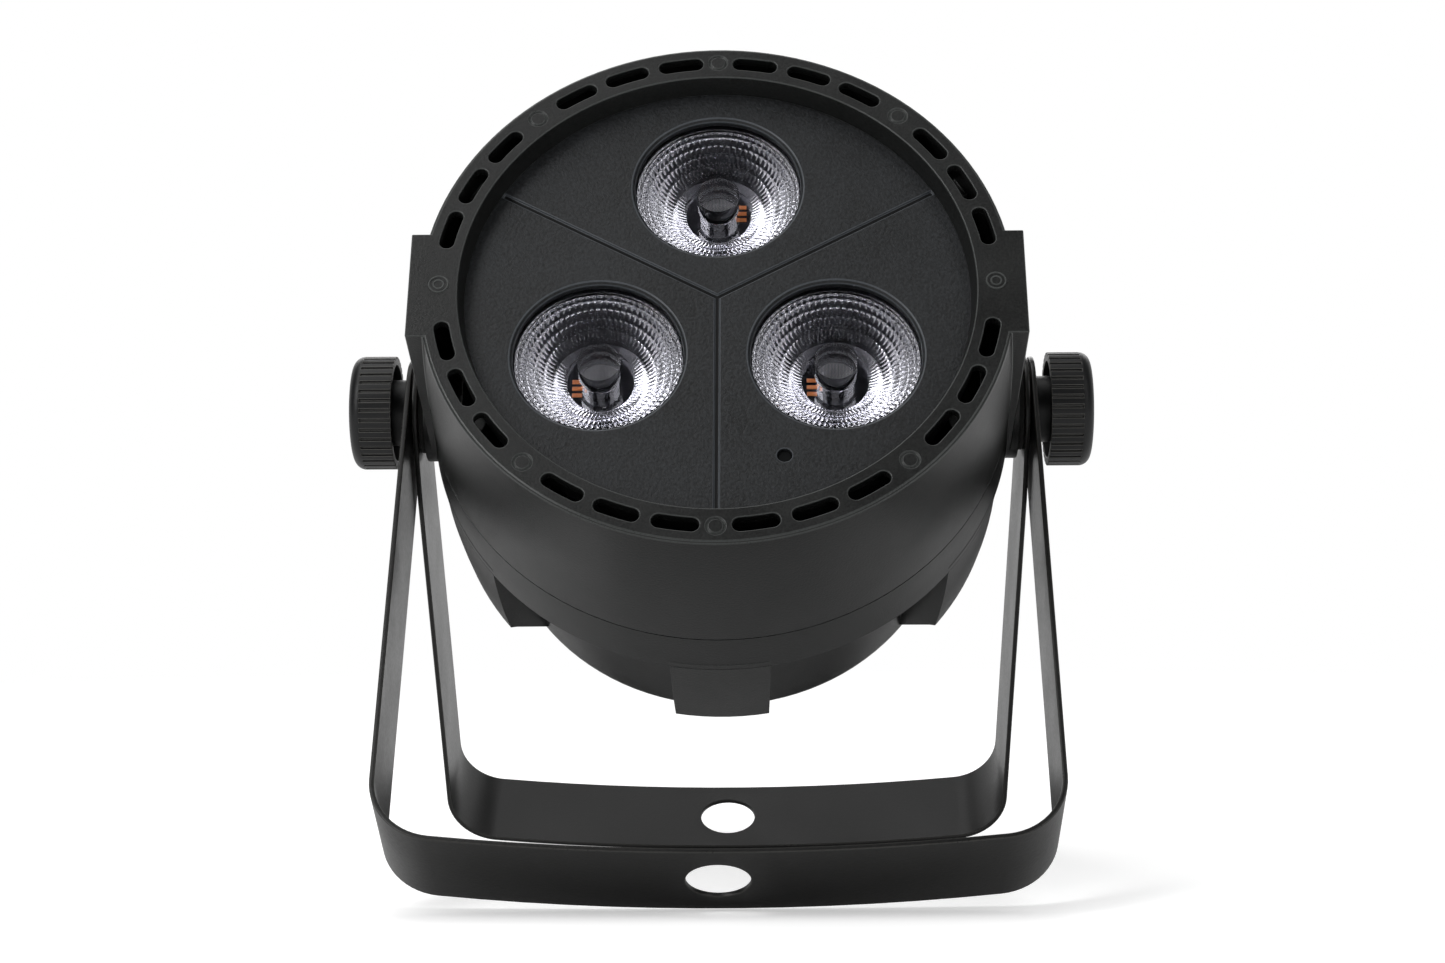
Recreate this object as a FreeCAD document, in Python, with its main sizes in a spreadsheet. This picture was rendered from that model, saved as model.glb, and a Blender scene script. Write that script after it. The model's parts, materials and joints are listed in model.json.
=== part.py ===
"""Mini LED par can light on a pair of scissor brackets, as a parametric document.

The head is drawn in its own frame: X to the light's right, Y back along the
optical axis from the plane of the front ring, Z up in the face.  The brackets
are drawn hanging straight down from the pivot axis.  Knobs are drawn with X
pointing outwards.  Each sub-part's Placement then puts it in the frame of the
whole light: floor at Z = 0, front towards -Y, pivot axis along X.
"""
import FreeCAD, Part
import math
import os
import Sketcher

Vector = FreeCAD.Vector

SIZES = {
    # stance
    "head_tilt": 29.0,
    "front_bracket_angle": 35.0,
    "pivot_depth": 65.5,
    "pivot_rise": 2.5,
    # front housing
    "ring_radius": 75.0,
    "ring_band": 9.6,
    "ring_thickness": 2.8,
    "ring_edge": 0.6,
    "recess_depth": 6.3,
    "recess_lip": 1.2,
    "recess_undercut": 2.4,
    "seam_depth": 47.0,
    "barrel_flare": 1.9,
    "barrel_bulge": 0.35,
    "housing_wall": 2.2,
    "slot_inset": 5.0,
    "slot_width": 3.8,
    "slot_length": 11.7,
    "slot_first_angle": 82.0,
    "slot_step": 12.0,
    "slot_group_step": 44.0,
    "boss_offset": 2.4,
    "boss_angle": 48.0,
    "boss_radius": 2.3,
    "mark_radius": 2.4,
    "mark_line": 0.45,
    "mark_depth": 0.35,
    "ear_proud": 0.9,
    "ear_half_height": 15.5,
    "ear_depth": 7.2,
    "ear_end_radius": 13.3,
    "pivot_step": 2.2,
    "screw_post_inset": 4.8,
    "screw_post_half": 3.0,
    "screw_post_start": 10.0,
    "screw_post_reach": 9.7,
    "screw_post_angle": 30.0,
    "pilot_floor": 2.0,
    # face plate
    "plate_thickness": 2.5,
    "plate_bore_radius": 21.5,
    "plate_bore_chamfer": 0.8,
    "plate_clearance": 0.3,
    "lens_circle_radius": 34.5,
    "groove_width": 1.3,
    "groove_depth": 0.6,
    "plate_post_radius": 3.5,
    "plate_post_circle": 50.0,
    "sensor_hole_radius": 1.875,
    "sensor_x": 16.7,
    "sensor_z": -46.9,
    "sensor_body_width": 6.0,
    "sensor_body_height": 7.0,
    "sensor_body_depth": 5.0,
    "sensor_inset": 1.0,
    "sensor_gap": 0.2,
    # optics
    "lens_gap": 0.1,
    "lens_face_margin": 1.2,
    "lens_face_recess": 1.0,
    "lens_flange_overlap": 1.1,
    "lens_flange_thickness": 1.5,
    "lens_base_radius": 8.5,
    "lens_bore_radius": 5.5,
    "lens_cavity_radius": 5.0,
    "lens_length": 17.5,
    "lens_web": 2.0,
    "cavity_depth": 4.9,
    "holder_margin": 1.4,
    "holder_wall": 1.2,
    "holder_base_margin": 4.0,
    "holder_gap": 0.2,
    "holder_floor_gap": 0.8,
    "led_size": 6.4,
    "led_height": 1.2,
    "led_dome_radius": 2.8,
    "board_gap": 0.6,
    "board_radius": 56.0,
    "board_thickness": 1.6,
    "plug_width": 8.0,
    "plug_height": 6.0,
    "plug_depth": 5.0,
    # cooling
    "sink_radius": 58.0,
    "sink_base": 4.0,
    "fin_height": 14.0,
    "fin_pitch": 8.0,
    "fin_thickness": 1.6,
    # rear housing
    "seam_gap": 0.2,
    "tongue_length": 3.0,
    "tongue_clearance": 0.2,
    "tongue_wall": 1.3,
    "skirt_flare": 0.6,
    "skirt_length": 15.5,
    "skirt_step": 2.4,
    "drum_step": 11.0,
    "drum_wall": 2.7,
    "rear_depth": 118.6,
    "rear_round": 7.0,
    "rear_wall": 4.0,
    "leg_setback": 21.0,
    "leg_taper": 2.4,
    "leg_root": 1.3,
    "leg_bulge": 0.4,
    "leg_angle": 19.2,
    "leg_round": 1.8,
    "screw_hole_radius": 2.8,
    "screw_seat_length": 10.0,
    "ear_clearance": 0.3,
    # rear panel and what it carries
    "panel_radius": 52.7,
    "panel_margin": 3.5,
    "panel_ledge": 6.0,
    "panel_thickness": 1.5,
    "panel_clearance": 0.3,
    "window_width": 34.0,
    "window_height": 14.0,
    "window_z": 30.0,
    "window_gap": 0.2,
    "window_lip": 2.0,
    "window_lip_thickness": 1.0,
    "display_margin": 1.2,
    "display_side_margin": 2.0,
    "display_end_margin": 1.0,
    "button_radius": 3.0,
    "button_clearance": 0.4,
    "button_pitch": 13.0,
    "button_z": 14.0,
    "button_proud": 1.8,
    "button_flange_radius": 4.2,
    "button_travel": 0.8,
    "button_play": 0.2,
    "button_flange": 1.0,
    "button_edge": 0.4,
    "stem_gap": 0.1,
    "switch_size": 6.0,
    "switch_height": 3.5,
    "control_setback": 11.0,
    "control_width": 57.0,
    "control_bottom": 6.0,
    "control_top": 39.0,
    "control_thickness": 1.6,
    "processor_x": -2.0,
    "processor_width": 10.0,
    "driver_x": 13.0,
    "driver_width": 6.0,
    "chip_thickness": 1.6,
    "standoff_inset": 3.5,
    "standoff_radius": 2.5,
    "socket_x": 25.0,
    "socket_z": -8.0,
    "socket_radius": 11.2,
    "socket_clearance": 0.3,
    "socket_flange_width": 1.8,
    "socket_flange": 1.5,
    "socket_length": 22.0,
    "cup_radius": 7.9,
    "cup_depth": 15.0,
    "pin_radius": 1.2,
    "pin_circle": 4.0,
    "pin_length": 8.5,
    "plug_core_radius": 7.5,
    "plug_core_groove": 1.4,
    "contact_clearance": 0.3,
    "inlet_z": -34.0,
    "inlet_width": 27.0,
    "inlet_height": 20.0,
    "inlet_gap": 0.25,
    "inlet_flange": 2.0,
    "inlet_length": 23.0,
    "inlet_wall": 1.7,
    "inlet_recess_depth": 15.5,
    "inlet_corner": 5.0,
    "inlet_blade_offset": 2.0,
    "inlet_pin_width": 4.0,
    "inlet_pin_thickness": 2.0,
    "inlet_pin_length": 9.0,
    "inlet_pin_pitch": 7.0,
    # power supply
    "power_gap": 5.4,
    "power_width": 76.0,
    "power_height": 56.0,
    "power_thickness": 1.6,
    "power_post_inset": 6.0,
    "power_post_radius": 3.0,
    "core_width": 24.0,
    "core_height": 20.0,
    "core_depth": 16.0,
    "core_z": 12.0,
    "coil_width": 16.0,
    "coil_height": 26.0,
    "coil_depth": 13.0,
    "can_radius": 6.0,
    "can_length": 15.0,
    "can_x": -15.0,
    "can_z": -14.0,
    "can_pitch": 14.0,
    # pivots, knobs and brackets
    "insert_radius": 5.5,
    "insert_length": 8.2,
    "insert_bore": 4.0,
    "press_gap": 0.03,
    "bolt_gap": 0.07,
    "bolt_end_gap": 0.5,
    "washer_radius": 11.0,
    "washer_play": 0.5,
    "friction_thickness": 1.4,
    "spacer_radius": 9.0,
    "spacer_thickness": 0.4,
    "stack_gap": 0.05,
    "strap_width": 28.6,
    "strap_thickness": 1.3,
    "strap_play": 0.3,
    "strap_hole_radius": 7.95,
    "front_reach": 143.7,
    "rear_reach": 139.3,
    "front_corner": 17.0,
    "rear_corner": 15.0,
    "bow_radius": 640.0,
    "rear_taper": 1.5,
    "taper_start": 20.0,
    "knob_radius": 15.4,
    "knob_rim_gap": 3.8,
    "knob_length": 11.5,
    "knob_wall": 2.2,
    "knob_top": 3.4,
    "knob_edge": 3.0,
    "hub_radius": 9.0,
    "rib_count": 36,
    "rib_depth": 0.65,
    "valley_angle": 2.8,
    "valley_taper": 0.35,
    "hex_flats": 13.0,
    "hex_height": 5.3,
    "hex_cover": 4.7,
    # small screws
    "screw_shank": 1.4,
    "screw_head": 2.5,
    "small_head": 0.3,
    "screw_head_height": 1.8,
    "screw_engagement": 8.0,
    "driver_room": 1.0,
    "shank_clearance": 0.1,
}

doc = FreeCAD.newDocument("ParCanLight")
sheet = doc.addObject("Spreadsheet::Sheet", "Sizes")
for row, (alias, value) in enumerate(SIZES.items(), 1):
    sheet.set(f"A{row}", alias)
    sheet.set(f"B{row}", str(value))
    sheet.setAlias(f"B{row}", alias)
doc.recompute()


class Size:
    """A length or angle: its number, and the sheet expression that gives it."""

    def __init__(self, value, text):
        self.value = value
        self.text = text

    def _joined(self, other, sign, value, swapped=False):
        other_text = other.text if isinstance(other, Size) else repr(other)
        first, second = (other_text, self.text) if swapped else (self.text, other_text)
        return Size(value, f"({first} {sign} {second})")

    def __add__(self, other):
        return self._joined(other, "+", self.value + number(other))

    def __radd__(self, other):
        return self._joined(other, "+", number(other) + self.value, True)

    def __sub__(self, other):
        return self._joined(other, "-", self.value - number(other))

    def __rsub__(self, other):
        return self._joined(other, "-", number(other) - self.value, True)

    def __mul__(self, other):
        return self._joined(other, "*", self.value * number(other))

    def __rmul__(self, other):
        return self._joined(other, "*", number(other) * self.value, True)

    def __truediv__(self, other):
        return self._joined(other, "/", self.value / number(other))

    def __neg__(self):
        return Size(-self.value, f"(0 - {self.text})")


class Sheet:
    """Reads the sheet's cells as Size values: size.ring_radius."""

    def __getattr__(self, alias):
        return Size(float(getattr(sheet, alias)), f"Sizes.{alias}")


size = Sheet()


def number(value):
    return value.value if isinstance(value, Size) else float(value)


def cos(angle):
    text = angle.text if isinstance(angle, Size) else repr(float(angle))
    return Size(math.cos(math.radians(number(angle))), f"cos({text})")


def sin(angle):
    text = angle.text if isinstance(angle, Size) else repr(float(angle))
    return Size(math.sin(math.radians(number(angle))), f"sin({text})")


def bind(thing, prop, value):
    """Set a property now and keep it tied to the sheet."""
    if isinstance(value, Size):
        thing.setExpression(prop, value.text)
    else:
        setattr(thing, prop, value)


# ---------------------------------------------------------------- sizes that follow from others

ring_inner_radius = size.ring_radius - size.ring_band
recess_wall_radius = ring_inner_radius + size.recess_undercut
recess_base_radius = ring_inner_radius - size.recess_lip
slot_circle_radius = size.ring_radius - size.slot_inset
boss_circle_radius = recess_wall_radius + size.boss_offset
seam_radius = size.ring_radius + size.barrel_flare
inner_seam_radius = seam_radius - size.housing_wall
screw_post_radius = inner_seam_radius - size.screw_post_inset
screw_post_end = size.seam_depth + size.screw_post_reach
screw_seat_depth = screw_post_end + size.screw_seat_length
ear_span = seam_radius + size.ear_proud
ear_inner = ear_span - size.ear_depth
pivot_face = ear_span + size.pivot_step

tongue_outer = inner_seam_radius - size.tongue_clearance
tongue_inner = tongue_outer - size.tongue_wall
skirt_radius = seam_radius + size.skirt_flare
skirt_depth = size.seam_depth + size.skirt_length
drum_radius = skirt_radius - size.drum_step
drum_end_radius = size.panel_radius + size.panel_margin + size.rear_round
leg_depth = size.rear_depth - size.leg_setback
leg_radius = skirt_radius - size.leg_taper
leg_root_radius = drum_radius - size.leg_root
leg_end_radius = drum_end_radius - size.leg_root
panel_seat_radius = size.panel_radius - size.panel_ledge
panel_screw_circle = size.panel_radius - size.panel_ledge / 2
panel_inner = size.rear_depth - size.panel_thickness
socket_face = size.rear_depth + size.socket_flange
control_depth = size.rear_depth - size.control_setback
control_back = control_depth + size.control_thickness

plate_back = size.recess_depth + size.plate_thickness
lens_front = plate_back + size.lens_gap
lens_back = lens_front + size.lens_length
lens_flange_radius = size.plate_bore_radius + size.lens_flange_overlap
lens_face_radius = size.plate_bore_radius - size.lens_face_margin
holder_radius = lens_flange_radius + size.holder_margin
holder_base_radius = size.lens_base_radius + size.holder_base_margin
board_depth = lens_back + size.board_gap
sink_front = board_depth + size.board_thickness
sink_back = sink_front + size.sink_base
fin_end = sink_back + size.fin_height
power_depth = fin_end + size.power_gap
power_back = power_depth + size.power_thickness

washer_start = pivot_face + size.stack_gap
rear_strap_inner = washer_start + size.friction_thickness + size.stack_gap
rear_strap_outer = rear_strap_inner + size.strap_thickness
spacer_start = rear_strap_outer + size.stack_gap
front_strap_inner = spacer_start + size.spacer_thickness + size.stack_gap
front_strap_outer = front_strap_inner + size.strap_thickness
knob_start = front_strap_outer + size.stack_gap
knob_rim = front_strap_outer + size.knob_rim_gap
knob_end = knob_rim + size.knob_length
hex_start = knob_end - size.hex_cover - size.hex_height
bolt_radius = size.insert_bore - size.bolt_gap
bolt_start = pivot_face - size.insert_length + size.bolt_end_gap
washer_bore = size.insert_bore + size.washer_play
strap_bore = size.insert_bore + size.strap_play

# ---------------------------------------------------------------- placements

half_strap = size.strap_width / 2
pivot_height = (size.front_reach * cos(size.front_bracket_angle)
                + half_strap * sin(size.front_bracket_angle))
rear_radius = math.hypot(size.rear_reach.value, half_strap.value)
rear_bracket_angle = Size(
    math.degrees(math.acos(pivot_height.value / rear_radius)
                 + math.atan2(half_strap.value, size.rear_reach.value)),
    f"(acos({pivot_height.text} / sqrt({size.rear_reach.text}^2 + {half_strap.text}^2))"
    f" + atan({half_strap.text} / {size.rear_reach.text}))")

ring_reach = (size.pivot_depth * cos(size.head_tilt)
              + (size.ring_radius - size.ring_edge + size.pivot_rise) * sin(size.head_tilt))
front_bar_reach = (size.front_reach * sin(size.front_bracket_angle)
                   + half_strap * cos(size.front_bracket_angle))
rear_bar_reach = (size.rear_reach * sin(rear_bracket_angle)
                  + half_strap * cos(rear_bracket_angle))
front_extent = ring_reach if ring_reach.value > front_bar_reach.value else front_bar_reach
pivot_y = (front_extent - rear_bar_reach) / 2


def placement_text(x, y, z, axis, angle):
    return (f"placement(vector({x.text}; {y.text}; {z.text});"
            f" rotation(vector({axis}); {angle.text}))")


def place_head(thing, x=0.0, z=0.0):
    """Put a thing drawn in the head's frame, moved by x and z in the face."""
    rise = (z if isinstance(z, Size) else Size(float(z), repr(float(z)))) - size.pivot_rise
    back = -size.pivot_depth
    y_place = pivot_y + back * cos(size.head_tilt) + rise * sin(size.head_tilt)
    z_place = pivot_height - back * sin(size.head_tilt) + rise * cos(size.head_tilt)
    x_place = x if isinstance(x, Size) else Size(float(x), repr(float(x)))
    thing.setExpression(
        "Placement", placement_text(x_place, y_place, z_place, "1;0;0", -size.head_tilt))


def place_pivot(thing, swing=None, left=False):
    """Put a thing drawn about the pivot axis, swung about X or turned to the left side."""
    zero = Size(0.0, "0")
    if left:
        text = placement_text(zero, pivot_y, pivot_height, "0;0;1", Size(180.0, "180"))
    else:
        text = placement_text(zero, pivot_y, pivot_height, "1;0;0", swing or zero)
    thing.setExpression("Placement", text)


# ---------------------------------------------------------------- sketches

def new_body(label):
    body = doc.addObject("PartDesign::Body", label)
    body.Label = label
    return body


def origin_feature(body, role):
    return next(item for item in body.Origin.OriginFeatures if item.Role == role)


def new_sketch(body, plane, offset=0.0):
    """A sketch on one of the body's own origin planes, moved along its normal."""
    sketch = body.newObject("Sketcher::SketchObject", body.Label + "_sketch")
    sketch.AttachmentSupport = [(origin_feature(body, plane), "")]
    sketch.MapMode = "FlatFace"
    sketch.AttachmentOffset = FreeCAD.Placement(Vector(0, 0, number(offset)), FreeCAD.Rotation())
    if isinstance(offset, Size):
        sketch.setExpression("AttachmentOffset.Base.z", offset.text)
    return sketch


def face_sketch(body, depth):
    """A sketch across the optical axis at a depth behind the front plane."""
    return new_sketch(body, "XZ_Plane", -depth if isinstance(depth, Size) else -float(depth))


def pin(sketch, item, end, x, y):
    """Fix one point of a sketch item at x, y, tied to the sheet."""
    for kind, value, axis in (("DistanceX", x, -2), ("DistanceY", y, -1)):
        if abs(number(value)) < 1e-9:
            sketch.addConstraint(Sketcher.Constraint("PointOnObject", item, end, axis))
            continue
        ends = (-1, 1, item, end) if number(value) > 0 else (item, end, -1, 1)
        row = sketch.addConstraint(Sketcher.Constraint(kind, *ends, abs(number(value))))
        if isinstance(value, Size):
            tied = value if number(value) > 0 else -value
            sketch.setExpression(f"Constraints[{row}]", tied.text)


def point(x, y):
    return Vector(number(x), number(y), 0)


def is_left_turn(start, middle, end):
    first, second = middle - start, end - middle
    return first.x * second.y - first.y * second.x > 0


def outline(sketch, steps, tied=True):
    """A closed outline.  Each step is a corner (x, y), or a corner with the
    middle point of the arc that leads to it: (x, y, middle_x, middle_y)."""
    edges, ends = [], []
    for place, step in enumerate(steps):
        start = point(*steps[place - 1][:2])
        end = point(*step[:2])
        forward = True
        if len(step) == 4:
            middle = point(*step[2:])
            forward = is_left_turn(start, middle, end)
            edges.append(Part.Arc(start, middle, end) if forward else Part.Arc(end, middle, start))
        else:
            edges.append(Part.LineSegment(start, end))
        ends.append((1, 2) if forward else (2, 1))
    items = sketch.addGeometry(edges)
    for place, item in enumerate(items):
        sketch.addConstraint(Sketcher.Constraint(
            "Coincident", items[place - 1], ends[place - 1][1], item, ends[place][0]))
        if tied:
            pin(sketch, item, ends[place][1], *steps[place][:2])


def rectangle(sketch, low_x, low_y, high_x, high_y):
    outline(sketch, [(low_x, low_y), (high_x, low_y), (high_x, high_y), (low_x, high_y)])


def circle(sketch, x, y, radius):
    item = sketch.addGeometry(Part.Circle(point(x, y), Vector(0, 0, 1), number(radius)))
    pin(sketch, item, 3, x, y)
    row = sketch.addConstraint(Sketcher.Constraint("Radius", item, number(radius)))
    if isinstance(radius, Size):
        sketch.setExpression(f"Constraints[{row}]", radius.text)


# ---------------------------------------------------------------- features

def feature(body, kind, sketch, length, reverse=False, both=False):
    made = body.newObject("PartDesign::" + kind, body.Label + "_" + kind.lower())
    made.Profile = sketch
    bind(made, "Length", length)
    made.Reversed = reverse
    made.Midplane = both
    sketch.Visibility = False
    return made


def pad(body, sketch, length, reverse=False, both=False):
    return feature(body, "Pad", sketch, length, reverse, both)


def pad_back(body, sketch, length):
    """Pad away from the light's front."""
    return feature(body, "Pad", sketch, length, reverse=True)


def pocket(body, sketch, length, reverse=False, both=False):
    """Cut against the sketch's normal, which on a face sketch is towards the back."""
    return feature(body, "Pocket", sketch, length, reverse, both)


def turned(body, kind, sketch, axis, angle=360.0):
    made = body.newObject("PartDesign::" + kind, body.Label + "_" + kind.lower())
    made.Profile = sketch
    made.ReferenceAxis = (sketch, [axis])
    bind(made, "Angle", angle)
    made.Midplane = number(angle) < 360
    return made


def revolve(body, sketch, axis="V_Axis", angle=360.0):
    return turned(body, "Revolution", sketch, axis, angle)


def repeat(body, features, axis, count, angle=360.0):
    """The features again round one of the body's origin axes."""
    pattern = body.newObject("PartDesign::PolarPattern", body.Label + "_pattern")
    pattern.Originals = features
    pattern.Axis = (origin_feature(body, axis), [""])
    bind(pattern, "Angle", angle)
    bind(pattern, "Occurrences", count)
    body.Tip = pattern
    return pattern


def mirror(body, features, plane):
    made = body.newObject("PartDesign::Mirrored", body.Label + "_mirror")
    made.Originals = features
    made.MirrorPlane = (origin_feature(body, plane), [""])
    body.Tip = made
    return made


def in_four_quarters(body, features, steps=()):
    """The features turned by each (count, angle) about Y, then mirrored into all quarters."""
    made = body.newObject("PartDesign::MultiTransform", body.Label + "_quarters")
    made.Originals = features
    moves = []
    for count, angle in steps:
        turn = doc.addObject("PartDesign::PolarPattern", body.Label + "_turn")
        turn.Axis = (origin_feature(body, "Y_Axis"), [""])
        turn.Occurrences = count
        bind(turn, "Angle", angle)
        moves.append(turn)
    for plane in ("YZ_Plane", "XY_Plane"):
        flip = doc.addObject("PartDesign::Mirrored", body.Label + "_flip")
        flip.MirrorPlane = (origin_feature(body, plane), [""])
        moves.append(flip)
    made.Transformations = moves
    body.Tip = made
    return made


def find_edges(shape, test):
    return [f"Edge{place}" for place, edge in enumerate(shape.Edges, 1) if test(edge)]


def chamfer_rims(body, base, radius, depth, width):
    """Chamfer the circular edges of one radius that lie at one depth."""
    doc.recompute()

    def on_rim(edge):
        return (isinstance(edge.Curve, Part.Circle)
                and abs(edge.Curve.Radius - number(radius)) < 1e-4
                and abs(edge.Vertexes[0].Point.y - number(depth)) < 1e-4)

    made = body.newObject("PartDesign::Chamfer", body.Label + "_chamfer")
    made.Base = (base, find_edges(base.Shape, on_rim))
    bind(made, "Size", width)
    return made


def slot_outline(sketch, radius, angle, width, length):
    """A slot curved round the origin, with round ends."""
    half = number(width) / 2
    round_angle = math.degrees((number(length) / 2 - half) / number(radius))

    def polar(r, degrees):
        return Vector(r * math.cos(math.radians(degrees)), r * math.sin(math.radians(degrees)), 0)

    low, high, mid = number(angle) - round_angle, number(angle) + round_angle, number(angle)
    inner, outer, centre = number(radius) - half, number(radius) + half, number(radius)
    cap = math.degrees(half / centre)
    arcs = [
        Part.Arc(polar(outer, low), polar(outer, mid), polar(outer, high)),
        Part.Arc(polar(outer, high), polar(centre, high + cap), polar(inner, high)),
        Part.Arc(polar(inner, high), polar(inner, mid), polar(inner, low)),
        Part.Arc(polar(inner, low), polar(centre, low - cap), polar(outer, low)),
    ]
    sketch.addGeometry(arcs)


def lug_outline(sketch, radius, angle, half, reach):
    """A round-ended lug centred on a circle, with straight sides to a reach."""
    turn = math.radians(number(angle))
    along = Vector(math.cos(turn), math.sin(turn), 0)
    across = Vector(-math.sin(turn), math.cos(turn), 0)
    middle = along * number(radius)
    root = along * number(reach)
    away = 1 if number(radius) > number(reach) else -1
    side = across * number(half)
    tip = middle + along * (away * number(half))
    sketch.addGeometry([
        Part.LineSegment(root - side, middle - side),
        Part.Arc(middle - side, tip, middle + side),
        Part.LineSegment(middle + side, root + side),
        Part.LineSegment(root + side, root - side),
    ])


def solid_box(low, high):
    return Part.makeBox(*[number(b) - number(a) for a, b in zip(low, high)],
                        point3(*low))


def point3(x, y, z):
    return Vector(number(x), number(y), number(z))


def rod(x, z, start, end, radius):
    """A cylinder along the optical axis from one depth to another."""
    return Part.makeCylinder(number(radius), number(end) - number(start),
                             point3(x, start, z), Vector(0, 1, 0))


def group(label, shapes):
    """Loose or fused pieces of one kind, as one object of the document."""
    made = doc.addObject("Part::Feature", label)
    made.Label = label
    made.Shape = shapes[0] if len(shapes) == 1 else Part.makeCompound(shapes)
    return made


def cap_screw(x, z, seat, tip, head_radius=size.screw_head):
    """A screw along the optical axis, its head behind the seat."""
    head = rod(x, z, seat, seat + size.screw_head_height, head_radius)
    return head.fuse(rod(x, z, tip, seat, size.screw_shank)).removeSplitter()


def quarter_points(radius, angle):
    x = number(radius) * math.cos(math.radians(number(angle)))
    z = number(radius) * math.sin(math.radians(number(angle)))
    return [(x, z), (-x, z), (-x, -z), (x, -z)]


# ---------------------------------------------------------------- front housing

def front_housing():
    """Ring, barrel, recess wall and the two ears that carry the pivots, in one moulding."""
    body = new_body("front_housing")
    barrel_middle = (size.ring_radius + seam_radius) / 2 + size.barrel_bulge
    profile = new_sketch(body, "XY_Plane")
    outline(profile, [
        (ring_inner_radius, 0.0),
        (size.ring_radius - size.ring_edge, 0.0),
        (size.ring_radius, size.ring_edge),
        (seam_radius, size.seam_depth, barrel_middle, size.seam_depth / 2),
        (inner_seam_radius, size.seam_depth),
        (size.ring_radius - size.housing_wall, size.ring_thickness),
        (recess_wall_radius, size.ring_thickness),
        (recess_wall_radius, size.recess_depth),
        (recess_base_radius, size.recess_depth),
    ])
    revolve(body, profile)

    bosses = face_sketch(body, size.ring_thickness)
    marks = face_sketch(body, 0.0)
    mark_places = [(boss_circle_radius, 0.0), (0.0, boss_circle_radius),
                   (-boss_circle_radius, 0.0), (0.0, -boss_circle_radius)]
    for side in (1, -1):
        for rise in (1, -1):
            across = boss_circle_radius * cos(size.boss_angle)
            up = boss_circle_radius * sin(size.boss_angle)
            mark_places.append((side * across, rise * up))
    for x, z in mark_places:
        circle(bosses, x, z, size.boss_radius)
        circle(marks, x, z, size.mark_radius)
        circle(marks, x, z, size.mark_radius - size.mark_line)
    pad_back(body, bosses, size.recess_depth - size.ring_thickness)
    pocket(body, marks, size.mark_depth)

    slots = face_sketch(body, 0.0)
    slot_outline(slots, slot_circle_radius, size.slot_first_angle, size.slot_width,
                 size.slot_length)
    slot = pocket(body, slots, size.ring_thickness)
    in_four_quarters(body, [slot], [(3, size.slot_step * 2), (2, size.slot_group_step)])

    ear = new_sketch(body, "YZ_Plane", ear_inner)
    ear_profile(ear, 0.0)
    ear_pad = pad(body, ear, ear_span - ear_inner)
    boss = new_sketch(body, "YZ_Plane", ear_inner)
    circle(boss, size.pivot_depth, size.pivot_rise, size.ear_end_radius)
    boss_pad = pad(body, boss, pivot_face - ear_inner)
    bore = new_sketch(body, "YZ_Plane", pivot_face)
    circle(bore, size.pivot_depth, size.pivot_rise, size.insert_radius)
    bore_cut = pocket(body, bore, size.insert_length)
    mirror(body, [ear_pad, boss_pad, bore_cut], "YZ_Plane")

    posts = face_sketch(body, size.screw_post_start)
    sleeves = face_sketch(body, size.screw_post_start)
    lug_outline(posts, screw_post_radius, size.screw_post_angle, size.screw_post_half,
                inner_seam_radius)
    circle(sleeves, screw_post_radius * cos(size.screw_post_angle),
           screw_post_radius * sin(size.screw_post_angle), size.screw_post_half)
    lug_length = size.seam_depth - size.tongue_length - size.plate_clearance - size.screw_post_start
    lug = pad_back(body, posts, lug_length)
    sleeve = pad_back(body, sleeves, screw_post_end - size.screw_post_start)
    pilot = face_sketch(body, screw_post_end)
    circle(pilot, screw_post_radius * cos(size.screw_post_angle),
           screw_post_radius * sin(size.screw_post_angle), size.screw_shank + size.press_gap)
    pilot_length = screw_post_end - size.screw_post_start - size.pilot_floor
    pilot_cut = pocket(body, pilot, pilot_length, reverse=True)
    in_four_quarters(body, [lug, sleeve, pilot_cut])
    place_head(body)
    return body


def ear_profile(sketch, grow):
    """Side view of an ear: square at the front ring, round about the pivot."""
    top, low = size.ear_half_height + grow, -size.ear_half_height - grow
    end = size.ear_end_radius + grow
    start = -grow if grow else 0.0
    outline(sketch, [
        (start, low),
        (size.pivot_depth, size.pivot_rise - end),
        (size.pivot_depth, size.pivot_rise + end, size.pivot_depth + end, size.pivot_rise),
        (start, top),
    ])


# ---------------------------------------------------------------- face plate and optics

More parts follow.
